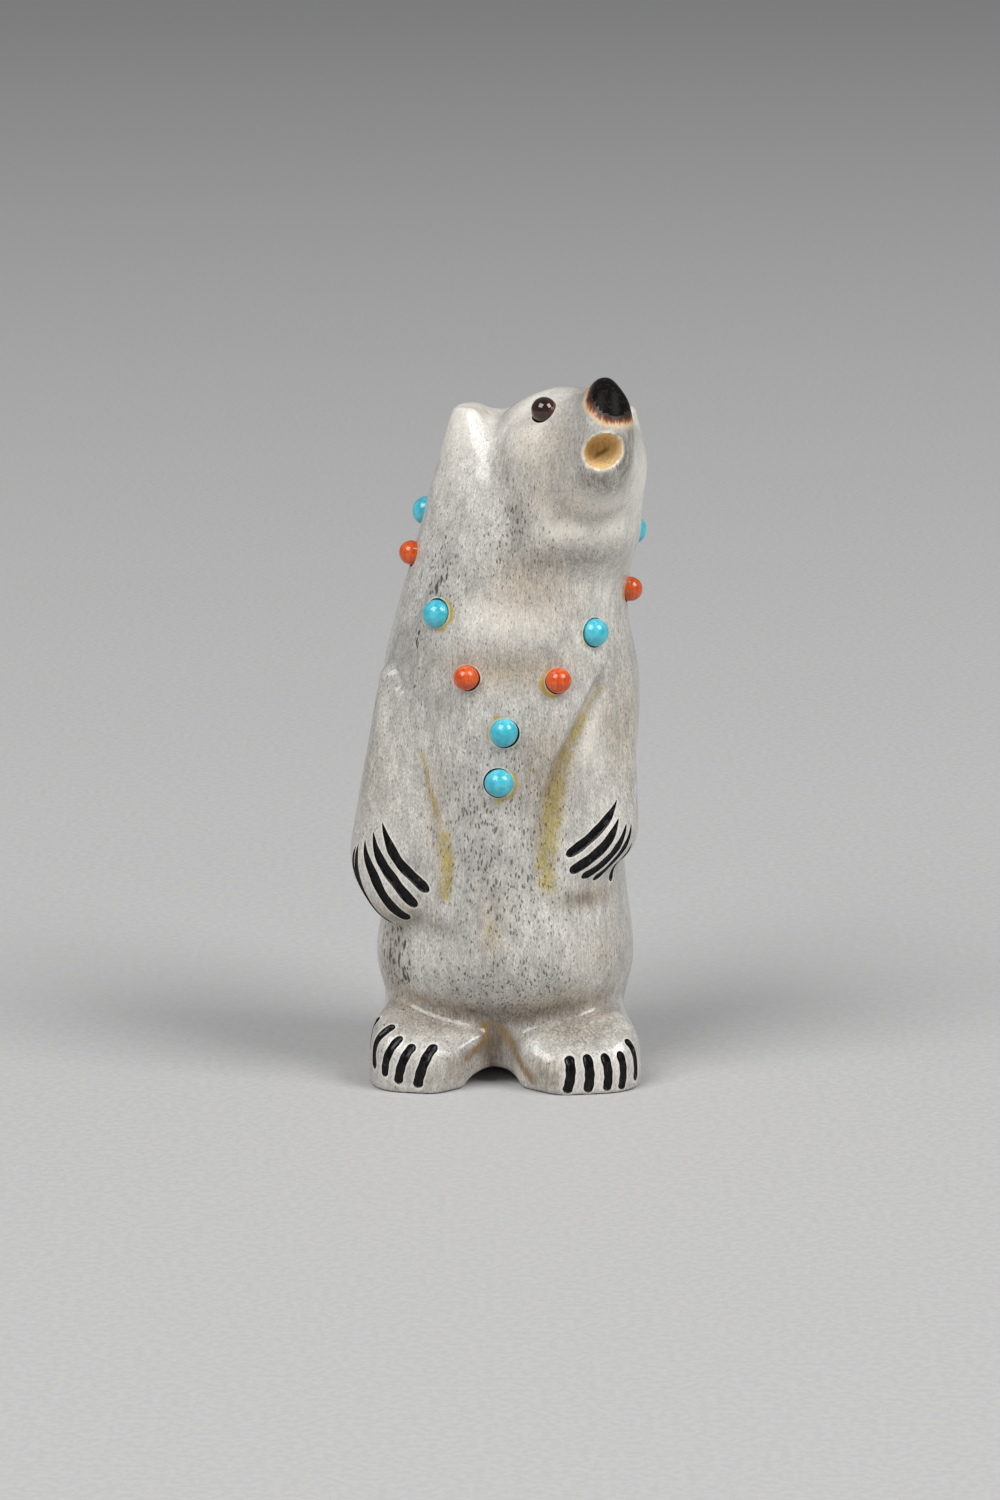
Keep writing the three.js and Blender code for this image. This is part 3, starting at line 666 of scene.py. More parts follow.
# %% [markdown]
# ## One cut
# All cutters are joined into one object, so that a single Boolean modifier cuts them all. Each
# kind of cutter carries its own material, and the modifier passes that material on to the faces
# that it cuts. The faces at the tip of the nose, which was held in a flame, get the charred
# material in the same way, a little inside the edge of the scorch.

# %% One cut
NOSE_CAP = ((10.94, -11.82, 72.5), (2.35, 3.3, 3.74), (-3, 15, 0))
CHAR_SHARE = 0.9

antler = bpy.data.materials.new("polished_antler")
claw_filling = bpy.data.materials.new("claw_filling")
seat_glue = bpy.data.materials.new("seat_glue")
bear.data.materials.append(antler)

for i, cutter in enumerate(cutters):
    cutter.data.materials.append(seat_glue if i < len(settings) else claw_filling)
    only(cutter)
    bpy.ops.object.mode_set(mode="EDIT")
    bpy.ops.mesh.select_all(action="SELECT")
    bpy.ops.mesh.normals_make_consistent(inside=False)
    bpy.ops.object.mode_set(mode="OBJECT")

only(cutters[0])
for cutter in cutters[1:]:
    cutter.select_set(True)
bpy.ops.object.join()
tools = cutters[0]
apply_modifier(
    bear,
    "BOOLEAN",
    operation="DIFFERENCE",
    object=tools,
    solver="MANIFOLD",
    material_mode="TRANSFER",
)
bpy.data.objects.remove(tools)

charred = bpy.data.materials.new("charred_tip")
bear.data.materials.append(charred)
middles = np.array([polygon.center for polygon in bear.data.polygons])
burnt = np.flatnonzero(lump(middles, *NOSE_CAP) < (CHAR_SHARE - 1) * min(NOSE_CAP[1]))
for i in burnt:
    bear.data.polygons[i].material_index = len(bear.data.materials) - 1
print("faces after the cut:", len(bear.data.polygons), "of which charred:", len(burnt))

# %% [markdown]
# ## What the surface remembers, and painted light and shade
# Years of handling, glue, heat and dirt have left their marks, and most of them have a place.
# Beside them lie patches of painted light and painted shade. Each kind of mark becomes a number at
# every corner of the mesh, an attribute, which the material reads by name. The simplest marks are
# soft patches, each strongest at its centre. First come the warm ones, where the antler's own brown
# shows or wax has sunk in, and which are also painted shade at the waist, under the paws and in the
# hollows of the chest. Then come the pale ones, which are painted light: on the ears, the brow, the
# ruff, the throat, the right side and the high parts of the chest.

# %% Warm patches with some painted shade, and pale patches of painted light
PATCHES = {}
# Warm patches: the antler's own tan, and painted shade at the waist, under the paws and in the
# hollows of the chest.
PATCHES["warm_tone_and_shade"] = [
    # centre, radii and strength of each soft patch
    ((0.7, -11.2, 44.7), (6.5, 5, 2.0), 1.0),
    ((3.5, -10.5, 53.5), (5.0, 4, 4.0), 0.8),
    ((5.5, -10, 63), (5, 5, 3.5), 0.6),
    ((2.5, -7.0, 66.0), (1.6, 4, 4.0), 0.7),
    ((-6.6, -9.3, 8.3), (6, 4, 1.7), 0.8),
    ((6.0, -9.8, 8.6), (7, 4, 2.0), 1.0),
    ((10.5, -8.0, 14.0), (4, 4, 3.0), 0.4),
    ((12.5, -6.0, 38.0), (3, 6, 6.0), 0.6),
    ((-12.8, -5.0, 33.0), (3, 5, 4.0), 0.45),
    ((5.6, -9.5, 67.0), (4.0, 5, 4.5), 0.6),
    ((4.5, -9.5, 34.0), (3.0, 4, 5.0), 0.7),
    ((-10.7, -8.5, 19.0), (4, 4, 1.5), 0.8),
    ((9.0, -9.0, 20.5), (4, 4, 1.4), 0.8),
    ((-11.5, -5.0, 12.0), (2.2, 4, 6.0), 0.7),
    ((-7.0, -9.5, 30.5), (1.2, 2, 5.0), 0.7),
    ((-1.0, -12.4, 18.0), (1.8, 2, 4.0), 0.5),
    ((-2.0, -12.0, 2.0), (5, 3, 1.8), 0.7),
    ((4.0, -12.0, 2.0), (2.5, 3, 1.8), 0.7),
]
# Pale patches: painted light on the surfaces that face the lamps.
PATCHES["painted_light"] = [
    ((-3.5, 0.5, 69.0), (5.0, 6, 5.5), 1.0),
    ((11.5, 2.0, 68.0), (4.5, 7, 6.0), 1.0),
    ((4.0, -4.0, 71.0), (5.5, 4.5, 4.5), 1.0),
    ((-3.8, -3.2, 65.0), (4.4, 4, 5.0), 0.5),
    ((14.4, -6.0, 65.0), (3.6, 6, 7.0), 1.0),
    ((11.0, -9.5, 59.8), (4.0, 3, 2.4), 1.0),
    ((6.5, -10.6, 59.4), (4.0, 2.5, 1.7), 1.0),
    ((4.4, -10.2, 61.4), (1.6, 2.5, 1.8), 0.8),
    ((3.0, -7.0, 68.5), (4.0, 4, 4.0), 0.8),
    ((10.0, -13.0, 62.2), (3.8, 3.0, 2.0), 1.0),
    ((0.5, -10.0, 49.8), (6.0, 3, 2.6), 0.8),
    ((8.5, -8.5, 47.5), (3.5, 4, 3.5), 0.4),
    ((11.0, -7.5, 52.5), (3.5, 4, 4.5), 0.5),
    ((9.2, -9.2, 37.5), (1.8, 2.5, 5.0), 0.8),
    ((-9.5, -11.0, 3.8), (4.5, 3, 2.2), 0.15),
    ((9.0, -12.4, 2.4), (4.5, 2, 1.6), 0.35),
    ((-13.0, -8.0, 23.0), (3.5, 4, 4.5), 0.5),
    ((11.0, -9.5, 26.0), (3.5, 3, 4.5), 0.5),
    ((7.2, -10.5, 14.5), (4.5, 4, 4.0), 0.3),
]
print("warm and pale:", len(PATCHES["warm_tone_and_shade"]), len(PATCHES["painted_light"]))

# %% [markdown]
# Grey painted shade lies under the muzzle, in the folds of the neck, below the paws and over the
# feet. The darkest painted shade sits in the fork of the feet and under the paws, and grime darkens
# the right hip with the same colour.

# %% Painted shade, and the darkest painted shade with grime
# Painted shade: grey patches where the carving lies in shade.
PATCHES["painted_shade"] = [
    ((9.6, -15.0, 65.3), (3.0, 3, 1.5), 0.8),
    ((12.4, -14.4, 67.2), (1.6, 3.0, 3.2), 1.0),
    ((13.1, -13.0, 70.0), (1.0, 2.5, 2.8), 0.85),
    ((8.0, -13.2, 68.0), (1.1, 2.5, 3.2), 0.55),
    ((0.3, -7.6, 65.4), (1.0, 2.5, 3.0), 0.45),
    ((1.2, -9.0, 61.2), (1.4, 2.5, 2.6), 0.5),
    ((2.0, -9.5, 58.2), (2.2, 2.5, 2.2), 0.55),
    ((4.0, -10.0, 56.2), (3.6, 2.5, 2.0), 0.5),
    ((8.0, -9.9, 55.8), (5.0, 2.5, 1.3), 0.3),
    ((6.5, -10.0, 50.5), (2.0, 3, 1.2), 0.3),
    ((1.6, -11.4, 31.5), (3.2, 3, 3.2), 0.45),
    ((-7.0, -9.5, 29.0), (0.8, 2, 3.5), 0.4),
    ((-9.8, -9.5, 18.0), (3.0, 4, 0.9), 0.6),
    ((-7.0, -10.5, 17.2), (2.4, 3, 1.6), 0.55),
    ((9.0, -9.5, 20.2), (3.5, 4, 1.2), 0.75),
    ((2.6, -11.0, 35.5), (2.2, 3, 4.5), 0.4),
    ((0.0, -12.4, 14.0), (6.0, 3, 3.5), 0.2),
    ((-0.5, -10.5, 7.9), (12, 5, 1.5), 0.9),
    ((-1.0, -9.4, 5.0), (1.9, 3, 3.2), 1.0),
    ((-7.5, -9.2, 7.2), (4.5, 4, 1.8), 0.75),
    ((8.0, -9.8, 6.0), (5.5, 4, 2.4), 0.75),
    ((4.5, -12.5, 2.4), (2.2, 2.5, 2.8), 0.6),
    ((-5.0, -11.5, 4.0), (3.0, 3.0, 2.8), 0.4),
    ((10.0, -11.5, 4.6), (3.5, 3, 1.2), 0.25),
]
# The darkest painted shade, in the fork of the feet and under the paws, and grime at the right hip.
PATCHES["deep_shade_and_grime"] = [
    ((-1.05, -9.2, 4.2), (1.3, 3, 3.4), 1.0),
    ((-1.0, -9.6, 8.0), (2.4, 3, 1.0), 0.5),
    ((-11.8, -6.4, 12.0), (1.2, 3, 5.0), 0.45),
    ((-7.6, -10.2, 17.6), (2.2, 3, 0.9), 0.4),
    ((7.6, -10.4, 20.4), (2.6, 3, 0.8), 0.4),
]
print("dusk and grime:", len(PATCHES["painted_shade"]), len(PATCHES["deep_shade_and_grime"]))

# %% [markdown]
# Antler is dense outside and spongy inside, and the carver cut down into the spongy part here and
# there. These patches say where its canals lie open, as pores, as short cracks and as pits.

# %% Pores, cracks and pits
PATCHES["porous"] = [
    ((-6.0, -6.0, 52.0), (4.5, 5, 9.0), 0.9),
    ((-11.0, -5.5, 12.5), (3.5, 5, 5.0), 1.0),
    ((0.0, -11.5, 26.0), (9.0, 5, 14.0), 1.0),
    ((1.4, -9.0, 61.0), (2.2, 3, 5.0), 0.9),
    ((9.5, -14.5, 66.5), (4.0, 3, 2.5), 0.5),
    ((0.0, -12.0, 11.0), (14, 6, 6.0), 0.9),
    ((0.5, -10.0, 57.0), (8.5, 6, 6.0), 0.6),
    ((0.0, 11.5, 35.0), (14, 6, 26.0), 0.6),
    ((13.5, 3.0, 30.0), (4, 9, 22.0), 0.4),
    ((-12.5, 3.0, 30.0), (4, 9, 22.0), 0.5),
    ((-12.5, -5.0, 36.0), (3, 5, 9.0), 0.4),
    ((-11.0, -9.5, 4.5), (2.5, 3, 2.5), 0.8),
]
PATCHES["cracked"] = [
    ((-6.6, -6.8, 54.0), (1.4, 2.5, 4.5), 1.0),
    ((-9.0, -7.2, 43.5), (0.7, 2, 5.0), 1.0),
    ((-5.0, -8.2, 51.0), (1.5, 3, 5.0), 0.5),
    ((-10.5, -7.5, 11.0), (1.2, 3, 4.5), 0.8),
    ((2.5, -9.5, 62.0), (1.2, 3, 3.5), 0.4),
]
PATCHES["pitted"] = [
    ((-11.4, -6.4, 13.4), (2.2, 3.5, 4.6), 1.0),
    ((-8.6, -6.8, 47.0), (0.5, 3, 3.5), 0.6),
    ((-12.6, -7.5, 6.0), (1.0, 2, 1.6), 0.7),
    ((-2.0, 12.0, 20.0), (3, 3, 6.0), 0.6),
]


def patch_values(points, patches):
    """The strongest patch at each point, fading outwards from each centre."""
    values = np.zeros(len(points))
    for centre, radii, strength in patches:
        q = (points - centre) / radii
        values = np.maximum(values, strength * np.exp(-(q**2).sum(-1)))
    return values


skin_points = corners_of(bear)
marks = {name: patch_values(skin_points, patches) for name, patches in PATCHES.items()}
print("patches:", {name: round(float(v.mean()), 3) for name, v in marks.items()})

# %% [markdown]
# Stains follow lines: the yellow ones where glue or wax gathered along the arms, and an orange
# one in the fork of the feet. Their strength falls off with the distance from the line.

# %% Stains along lines
YELLOW_LINES = [
    # points of the line, half width, strength
    ([(-8.5, -8.2, 35.6), (-8.1, -8.5, 33.9), (-7.5, -8.9, 31.2), (-6.9, -9.3, 29.4)], 0.4, 0.8),
    ([(-6.9, -9.3, 29.4), (-6.1, -9.8, 26.8)], 0.5, 0.4),
    ([(-6.1, -9.8, 26.8), (-5.9, -10.2, 24.8), (-5.8, -10.5, 23.0), (-6.1, -10.6, 21.0)], 0.9, 0.9),
    ([(10.5, -7.5, 42.4), (9.2, -8.0, 41.1), (8.3, -8.5, 39.6)], 0.5, 0.5),
    ([(8.3, -8.5, 39.6), (7.4, -9.0, 37.8), (6.5, -9.5, 35.9)], 0.8, 0.7),
    ([(6.5, -9.5, 35.9), (5.8, -9.8, 34.1), (5.4, -10.0, 32.2)], 1.1, 0.8),
    ([(5.4, -10.0, 32.2), (5.1, -10.1, 30.3), (4.9, -10.3, 28.0), (4.5, -10.5, 25.5)], 1.35, 0.9),
    ([(4.5, -10.5, 25.5), (4.2, -10.9, 23.6), (4.7, -11.1, 22.2)], 1.3, 0.75),
    ([(-1.3, -12.4, 18.2), (-1.2, -12.4, 15.8)], 0.9, 0.4),
    ([(-2.2, 1.3, 69.8), (-0.4, 1.5, 69.9)], 0.5, 0.7),
    ([(5.7, -5.1, 72.6), (6.3, -5.3, 72.6)], 0.35, 0.6),
    ([(3.2, -11.0, 34.2), (3.3, -11.0, 34.1)], 0.28, 0.9),
    ([(-8.2, -7.6, 9.4), (-10.4, -6.7, 7.6)], 0.6, 0.45),
]
ORANGE_LINES = [
    ([(-3.6, -11.3, 3.7), (-2.7, -10.6, 4.4), (-2.0, -9.9, 5.2), (-1.9, -9.5, 6.6)], 0.75, 0.9),
    ([(-1.9, -9.5, 6.6), (-2.6, -9.8, 7.4), (-4.4, -10.4, 7.8)], 0.7, 0.5),
    ([(-1.9, -9.5, 6.6), (-0.6, -9.3, 6.8), (0.1, -9.0, 5.6)], 0.7, 0.6),
    ([(0.1, -9.0, 5.6), (1.1, -9.6, 4.1), (2.0, -10.9, 2.8), (3.0, -11.7, 1.4)], 0.75, 0.9),
]


def line_values(points, lines):
    """How strongly the nearest line colours each point."""
    values = np.zeros(len(points))
    for ends, half_width, strength in lines:
        for a, b in zip(np.array(ends[:-1]), np.array(ends[1:])):
            along = np.clip((points - a) @ (b - a) / ((b - a) @ (b - a)), 0, 1)
            away = np.linalg.norm(points - a - along[:, None] * (b - a), axis=1)
            values = np.maximum(values, strength * np.exp(-((away / half_width) ** 2)))
    return values


marks["yellow"] = line_values(skin_points, YELLOW_LINES)
marks["orange"] = line_values(skin_points, ORANGE_LINES)
print("stained corners:", int((marks["yellow"] > 0.1).sum()), int((marks["orange"] > 0.1).sum()))

# %% [markdown]
# Glue shows round the seats, the rims of claws and seats get a pale painted highlight with some
# chipping, and hollows and creases get painted shade, mixed with dirt that fingers and cloth never
# reach. A point a little above the skin of a hollow is closer to the carving than it is to its own
# place on the skin, and that gives the depth of the hollow.

# %% Glue, rims and hollows
GLUE_REACH = 0.5
GLUE_WRAP = 0.1
RIM_REACH = 3.0
CLAW_NEAR = 9
HOLLOW_LIFTS = {"crease": 0.9, "hollow_shade_and_dirt": 3.0}

# The distance to the rims of seats and claws, where a pale highlight is painted.
rim = np.full(len(skin_points), RIM_REACH)
glue = np.zeros(len(skin_points))
for setting in settings:
    away = skin_points - (setting.point + setting.toward(setting.gap_clock) * SEAT_SHIFT)
    distance = np.linalg.norm(away, axis=1)
    beyond = np.abs(distance - setting.radius - SEAT_CLEARANCE)
    facing = away @ setting.toward(setting.glue_clock) / np.maximum(distance, 1e-6)
    lobe = np.clip(facing + GLUE_WRAP, 0, 1) * np.exp(-((beyond / GLUE_REACH) ** 1.5))
    glue = np.maximum(glue, lobe * setting.glue_share)
    rim = np.minimum(rim, beyond)
for path, reach in claw_marks:
    near = np.flatnonzero(np.linalg.norm(skin_points - path.mean(0), axis=1) < CLAW_NEAR)
    distances = np.linalg.norm(skin_points[near, None] - path[None], axis=2) - reach
    rim[near] = np.minimum(rim[near], np.abs(distances.min(1)))
marks |= {"glue": glue, "rim": rim}

skin_out = outward(skin_points)
# Hollows and creases: painted shade mixed with dirt, stronger the deeper the hollow.
for name, lift in HOLLOW_LIFTS.items():
    marks[name] = np.clip(1 - carving(skin_points + skin_out * lift) / lift, 0, 1)

for name, values in marks.items():
    attribute = bear.data.attributes.new(name, "FLOAT", "POINT")
    attribute.data.foreach_set("value", values.astype(np.float32))
print("attributes:", sorted(marks))

# %% [markdown]
# ## Finishing the body
# The mesh returns to its true size, the cut edges stay sharp and all else is shaded smooth.

# %% Finishing the body
CUT_EDGE = math.radians(35)

bear.data.transform(Matrix.Scale(MM, 4))
only(bear)
bpy.ops.object.shade_smooth_by_angle(angle=CUT_EDGE)
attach(bear, "root")
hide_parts("body")
print("triangles:", sum(len(p.vertices) - 2 for p in bear.data.polygons))

# %% [markdown]
# ## The stones
# A stone is a polished dome on a straight foot. One of each kind is modelled: a sphere is cut in
# half in edit mode, its open edge is pulled down into the foot, and the foot is closed. Each
# setting then gets a copy with its own mesh, a little uneven and a little tilted.

# %% One dome of each kind
DOMES = {
    # rise of the dome and of its straight edge above the skin
    "turquoise": (1.55, 0.12),
    "coral": (1.7, 0.42),
    "eye": (1.65, 0.3),
}
FOOT_DEPTH = 0.75


def half_dome(kind):
    rise, edge = DOMES[kind]
    radius = STONE_WIDTHS[kind] / 2
    bpy.ops.object.select_all(action="DESELECT")
    bpy.ops.mesh.primitive_uv_sphere_add(segments=40, ring_count=24, radius=1)
    dome = bpy.context.object
    bpy.ops.object.mode_set(mode="EDIT")
    bpy.ops.mesh.select_all(action="SELECT")
    bpy.ops.mesh.bisect(plane_co=(0, 0, 0), plane_no=(0, 0, 1), clear_inner=True)
    bpy.ops.mesh.select_all(action="SELECT")
    bpy.ops.transform.resize(value=(radius, radius, rise - edge))
    bpy.ops.transform.translate(value=(0, 0, edge))
    bpy.ops.mesh.select_all(action="DESELECT")
    bpy.ops.mesh.select_mode(type="EDGE")
    bpy.ops.mesh.select_non_manifold()
    bpy.ops.mesh.extrude_region_move(
        TRANSFORM_OT_translate={"value": (0, 0, -edge - FOOT_DEPTH)}
    )
    bpy.ops.mesh.edge_face_add()
    bpy.ops.mesh.select_all(action="SELECT")
    bpy.ops.mesh.normals_make_consistent(inside=False)
    bpy.ops.object.mode_set(mode="OBJECT")
    return dome


patterns = {kind: half_dome(kind) for kind in DOMES}
print("dome faces:", {kind: len(p.data.polygons) for kind, p in patterns.items()})

# %% Set the stones
UNEVEN = 0.03
TILT = math.radians(3)
FOOT_EDGE = math.radians(50)

setter = np.random.default_rng(23)
stone_slots = {"turquoise": "turquoise", "coral": "coral", "eye": "dark_stone"}
stone_materials = {kind: bpy.data.materials.new("polished_" + kind) for kind in stone_slots}
for setting in settings:
    stone = new_piece("set_" + setting.name, patterns[setting.kind].data.copy())
    move_corners(stone, corners_of(stone) * (1 + setter.uniform(-UNEVEN, UNEVEN, 3)))
    lean = Matrix.Rotation(TILT * setter.uniform(-1, 1), 4, "X")
    spin = Matrix.Rotation(setter.uniform(0, 6.3), 4, "Z")
    stone.data.transform(Matrix.Scale(MM, 4) @ setting.matrix() @ lean @ spin)
    stone.data.materials.append(stone_materials[setting.kind])
    only(stone)
    bpy.ops.object.shade_smooth_by_angle(angle=FOOT_EDGE)
    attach(stone, "root")
    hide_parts(setting.name)
for pattern in patterns.values():
    bpy.data.objects.remove(pattern)
print("stones set:", len(settings))

# %% [markdown]
# ## Materials
# Antler is full of fine canals that run its length. Where the carving cuts them they show as
# dark dashes, all upright. Turquoise and coral have specks and clouds of their own. Two effects
# serve all of them, each a node group with its own sockets: **flecks**, small stretched dots that
# wander off their grid, and **clouds**, soft variation. Both work in millimetres on the piece's
# own coordinates. A few short functions make the nodes.

# %% Short words for nodes
def add_node(tree, kind, inputs=(), **settings):
    """Adds a node. Each input gets a number, a colour or another node's output."""
    node = tree.nodes.new("ShaderNode" + kind)
    for name, value in settings.items():
        setattr(node, name, value)
    for socket, value in dict(inputs).items():
        if isinstance(value, bpy.types.NodeSocket):
            tree.links.new(value, node.inputs[socket])
        else:
            node.inputs[socket].default_value = value
    return node


def calc(tree, operation, a, b=0.0):
    return add_node(tree, "Math", {0: a, 1: b}, operation=operation).outputs[0]


def ramp(tree, value, low, high, to_low=0.0, to_high=1.0):
    """Turns a range of values into another, with soft ends."""
    sockets = {"Value": value, "From Min": low, "From Max": high}
    sockets |= {"To Min": to_low, "To Max": to_high}
    node = add_node(tree, "MapRange", sockets, interpolation_type="SMOOTHSTEP")
    return node.outputs["Result"]


def mix(tree, amount, a, b, how="MIX"):
    """Mixes two colours."""
    node = add_node(tree, "Mix", {0: amount, 6: a, 7: b}, data_type="RGBA", blend_type=how)
    return node.outputs[2]


def mark(tree, name):
    """Reads one of the numbers that the surface carries."""
    return add_node(tree, "Attribute", attribute_name=name).outputs["Fac"]


def vector_calc(tree, operation, a, b):
    return add_node(tree, "VectorMath", {0: a, 1: b}, operation=operation).outputs[0]


def within(tree, place, centre, radii, turn):
    """The place in a lump's own frame, where the lump is a ball of radius one, and its size."""
    yaw, pitch, roll = (math.radians(angle) for angle in turn)
    sockets = {"Vector": place, "Location": centre, "Rotation": (pitch, roll, yaw), "Scale": radii}
    local = add_node(tree, "Mapping", sockets, vector_type="TEXTURE").outputs[0]
    size = add_node(tree, "VectorMath", {0: local}, operation="LENGTH").outputs["Value"]
    return add_node(tree, "SeparateXYZ", {0: local}).outputs, size


print("node helpers ready")


# %% Starting a node group
def new_group(name, output, **numbers):
    """A group with a place and some numbers going in, and one number coming out."""
    group = bpy.data.node_groups.new(name, "ShaderNodeTree")
    group.interface.new_socket("Place", in_out="INPUT", socket_type="NodeSocketVector")
    for label, value in numbers.items():
        socket = group.interface.new_socket(label, in_out="INPUT", socket_type="NodeSocketFloat")
        socket.default_value = value
    group.interface.new_socket(output, in_out="OUTPUT", socket_type="NodeSocketFloat")
    given = group.nodes.new("NodeGroupInput").outputs
    return group, given, group.nodes.new("NodeGroupOutput").inputs[output]


def stretched(tree, place, width, length):
    """The place counted in cells of this width, each some times as long, upright, as wide."""
    across = calc(tree, "DIVIDE", 1.0, width)
    upright = calc(tree, "DIVIDE", across, length)
    scale = add_node(tree, "CombineXYZ", {0: across, 1: across, 2: upright}).outputs[0]
    return vector_calc(tree, "MULTIPLY", place, scale)


print("group helpers ready")

# %% Flecks
WANDER_SCALE = 0.9
WANDER = 0.6

flecks, given, mask = new_group("flecks", "Mask", Spacing=0.6, Length=3.0, Width=0.25, Share=0.6)
wander = add_node(
    flecks, "TexNoise", {"Vector": given["Place"], "Scale": WANDER_SCALE, "Detail": 1.0}
)
drift = add_node(
    flecks, "VectorMath", {0: wander.outputs["Color"], "Scale": WANDER}, operation="SCALE"
)
moved = vector_calc(flecks, "ADD", given["Place"], drift.outputs[0])
squeezed = stretched(flecks, moved, given["Spacing"], given["Length"])
cells = add_node(flecks, "TexVoronoi", {"Vector": squeezed, "Scale": 1.0})
chance = add_node(flecks, "SeparateXYZ", {0: cells.outputs["Color"]}).outputs[0]
missing = calc(flecks, "SUBTRACT", 1.0, given["Share"])
size = calc(flecks, "MULTIPLY", given["Width"], ramp(flecks, chance, missing, 1.0, 0.5, 1.0))
inner = calc(flecks, "MULTIPLY", size, 0.5)
fleck = ramp(flecks, cells.outputs["Distance"], inner, size, 1.0, 0.0)
there = calc(flecks, "GREATER_THAN", chance, missing)
flecks.links.new(calc(flecks, "MULTIPLY", fleck, there), mask)
print("group:", flecks.name, len(flecks.nodes), "nodes")

# %% Clouds
clouds, given, value = new_group(
    "clouds", "Value", Size=2.0, Length=1.0, Detail=2.0, Low=0.35, High=0.65
)
squeezed = stretched(clouds, given["Place"], given["Size"], given["Length"])
noise = add_node(
    clouds, "TexNoise", {"Vector": squeezed, "Scale": 1.0, "Detail": given["Detail"]}
)
clouds.links.new(ramp(clouds, noise.outputs["Fac"], given["Low"], given["High"]), value)
print("group:", clouds.name, len(clouds.nodes), "nodes")


# %% Placing the groups in a material
def open_material(material, **constants):
    """The material's node tree, its shader and its place in millimetres."""
    material.use_nodes = True
    tree = material.node_tree
    shader = tree.nodes["Principled BSDF"]
    for name, value in constants.items():
        shader.inputs[name.replace("_", " ")].default_value = value
    own = add_node(tree, "TexCoord").outputs["Object"]
    place = add_node(tree, "VectorMath", {0: own, "Scale": 1 / MM}, operation="SCALE")
    return tree, shader, place.outputs[0]


def place_group(tree, group, **inputs):
    node = tree.nodes.new("ShaderNodeGroup")
    node.node_tree = group
    for name, value in inputs.items():
        if isinstance(value, bpy.types.NodeSocket):
            tree.links.new(value, node.inputs[name])
        else:
            node.inputs[name].default_value = value
    return node.outputs[0]


def finish_surface(tree, shader, colour, roughness, height, depth_mm):
    """Connects the colour, the roughness and the fine relief of a surface."""
    bump = add_node(tree, "Bump", {"Height": height, "Distance": depth_mm * MM, "Strength": 1.0})
    tree.links.new(colour, shader.inputs["Base Color"])
    tree.links.new(roughness, shader.inputs["Roughness"])
    tree.links.new(bump.outputs[0], shader.inputs["Normal"])


print("materials to fill:", [m.name for m in bpy.data.materials if not m.use_nodes])

# %% [markdown]
# ## Polished antler
# The base is a cool grey in two tones. The patches of the surface colour it in turn: painted
# light, warm tone with some painted shade, painted shade, and the darkest painted shade with grime.
# Where light is painted, no painted shade or dirt is added in the creases and hollows.

# %% Antler: base, dirt, painted light and painted shade
tree, shader, place = open_material(
    antler, Coat_Roughness=0.08, Subsurface_Weight=0.12, Subsurface_Scale=0.0006
)
shader.inputs["Subsurface Radius"].default_value = (1.0, 0.75, 0.5)


def antler_clouds(size, length, detail=2.0):
    """Noise from 0 to 1, in clouds that are taller than wide."""
    clouding = {"Size": size, "Length": length, "Detail": detail, "Low": 0.3, "High": 0.7}
    return place_group(tree, clouds, Place=place, **clouding)


def times(a, b):
    return calc(tree, "MULTIPLY", a, b)


def paint(colour, amount, red, green, blue):
    """Covers the colour so far with another, by an amount."""
    return mix(tree, amount, colour, srgb(red, green, blue))


wide_tone = antler_clouds(5.0, 2.0)
blotch = antler_clouds(1.1, 2.0)
grain = antler_clouds(0.11, 3.0, 3.0)
fibre = antler_clouds(0.28, 7.0)

painted_light = mark(tree, "painted_light")
shade_and_dirt_share = ramp(tree, painted_light, 0.0, 0.9, 1.0, 0.0)
warm_tone_and_shade = times(mark(tree, "warm_tone_and_shade"), ramp(tree, blotch, 0.0, 1.0, 0.65, 1.0))
painted_shade = ramp(tree, mark(tree, "painted_shade"), 0.0, 1.0, 0.0, 0.92)
deep_shade_and_grime = ramp(tree, mark(tree, "deep_shade_and_grime"), 0.0, 1.0, 0.0, 0.75)
hollow_shade_and_dirt = ramp(tree, mark(tree, "hollow_shade_and_dirt"), 0.1, 0.75, 0.0, 0.45)
crease = ramp(tree, mark(tree, "crease"), 0.1, 0.6, 0.0, 0.6)

colour = mix(tree, wide_tone, srgb(184, 181, 174), srgb(207, 204, 197))
# Painted light on the pale patches.
colour = paint(colour, painted_light, 246, 240, 229)
# Warm tone: the antler's own tan, and painted shade at the waist, under the paws and in the chest
# hollows.
colour = paint(colour, warm_tone_and_shade, 190, 175, 153)
# Painted shade, broken up by the fibres.
colour = paint(colour, times(painted_shade, ramp(tree, fibre, 0.0, 1.0, 1.0, 0.6)), 122, 111, 98)
# The darkest painted shade, with grime at the right hip.
colour = paint(colour, deep_shade_and_grime, 92, 80, 66)
# Painted shade mixed with dirt in hollows and creases, kept off where light is painted.
colour = paint(colour, times(hollow_shade_and_dirt, shade_and_dirt_share), 132, 118, 100)
colour = paint(colour, times(crease, shade_and_dirt_share), 96, 82, 66)
print("antler nodes:", len(tree.nodes))

# %% [markdown]
# The grain darkens and lightens the colour at three sizes, less so where light is painted. Over
# it lie four kinds of fleck: the fine canals that are everywhere, coarser ones where the antler
# is porous, short cracks, and pits. Their marks on the surface make them wider and darker.

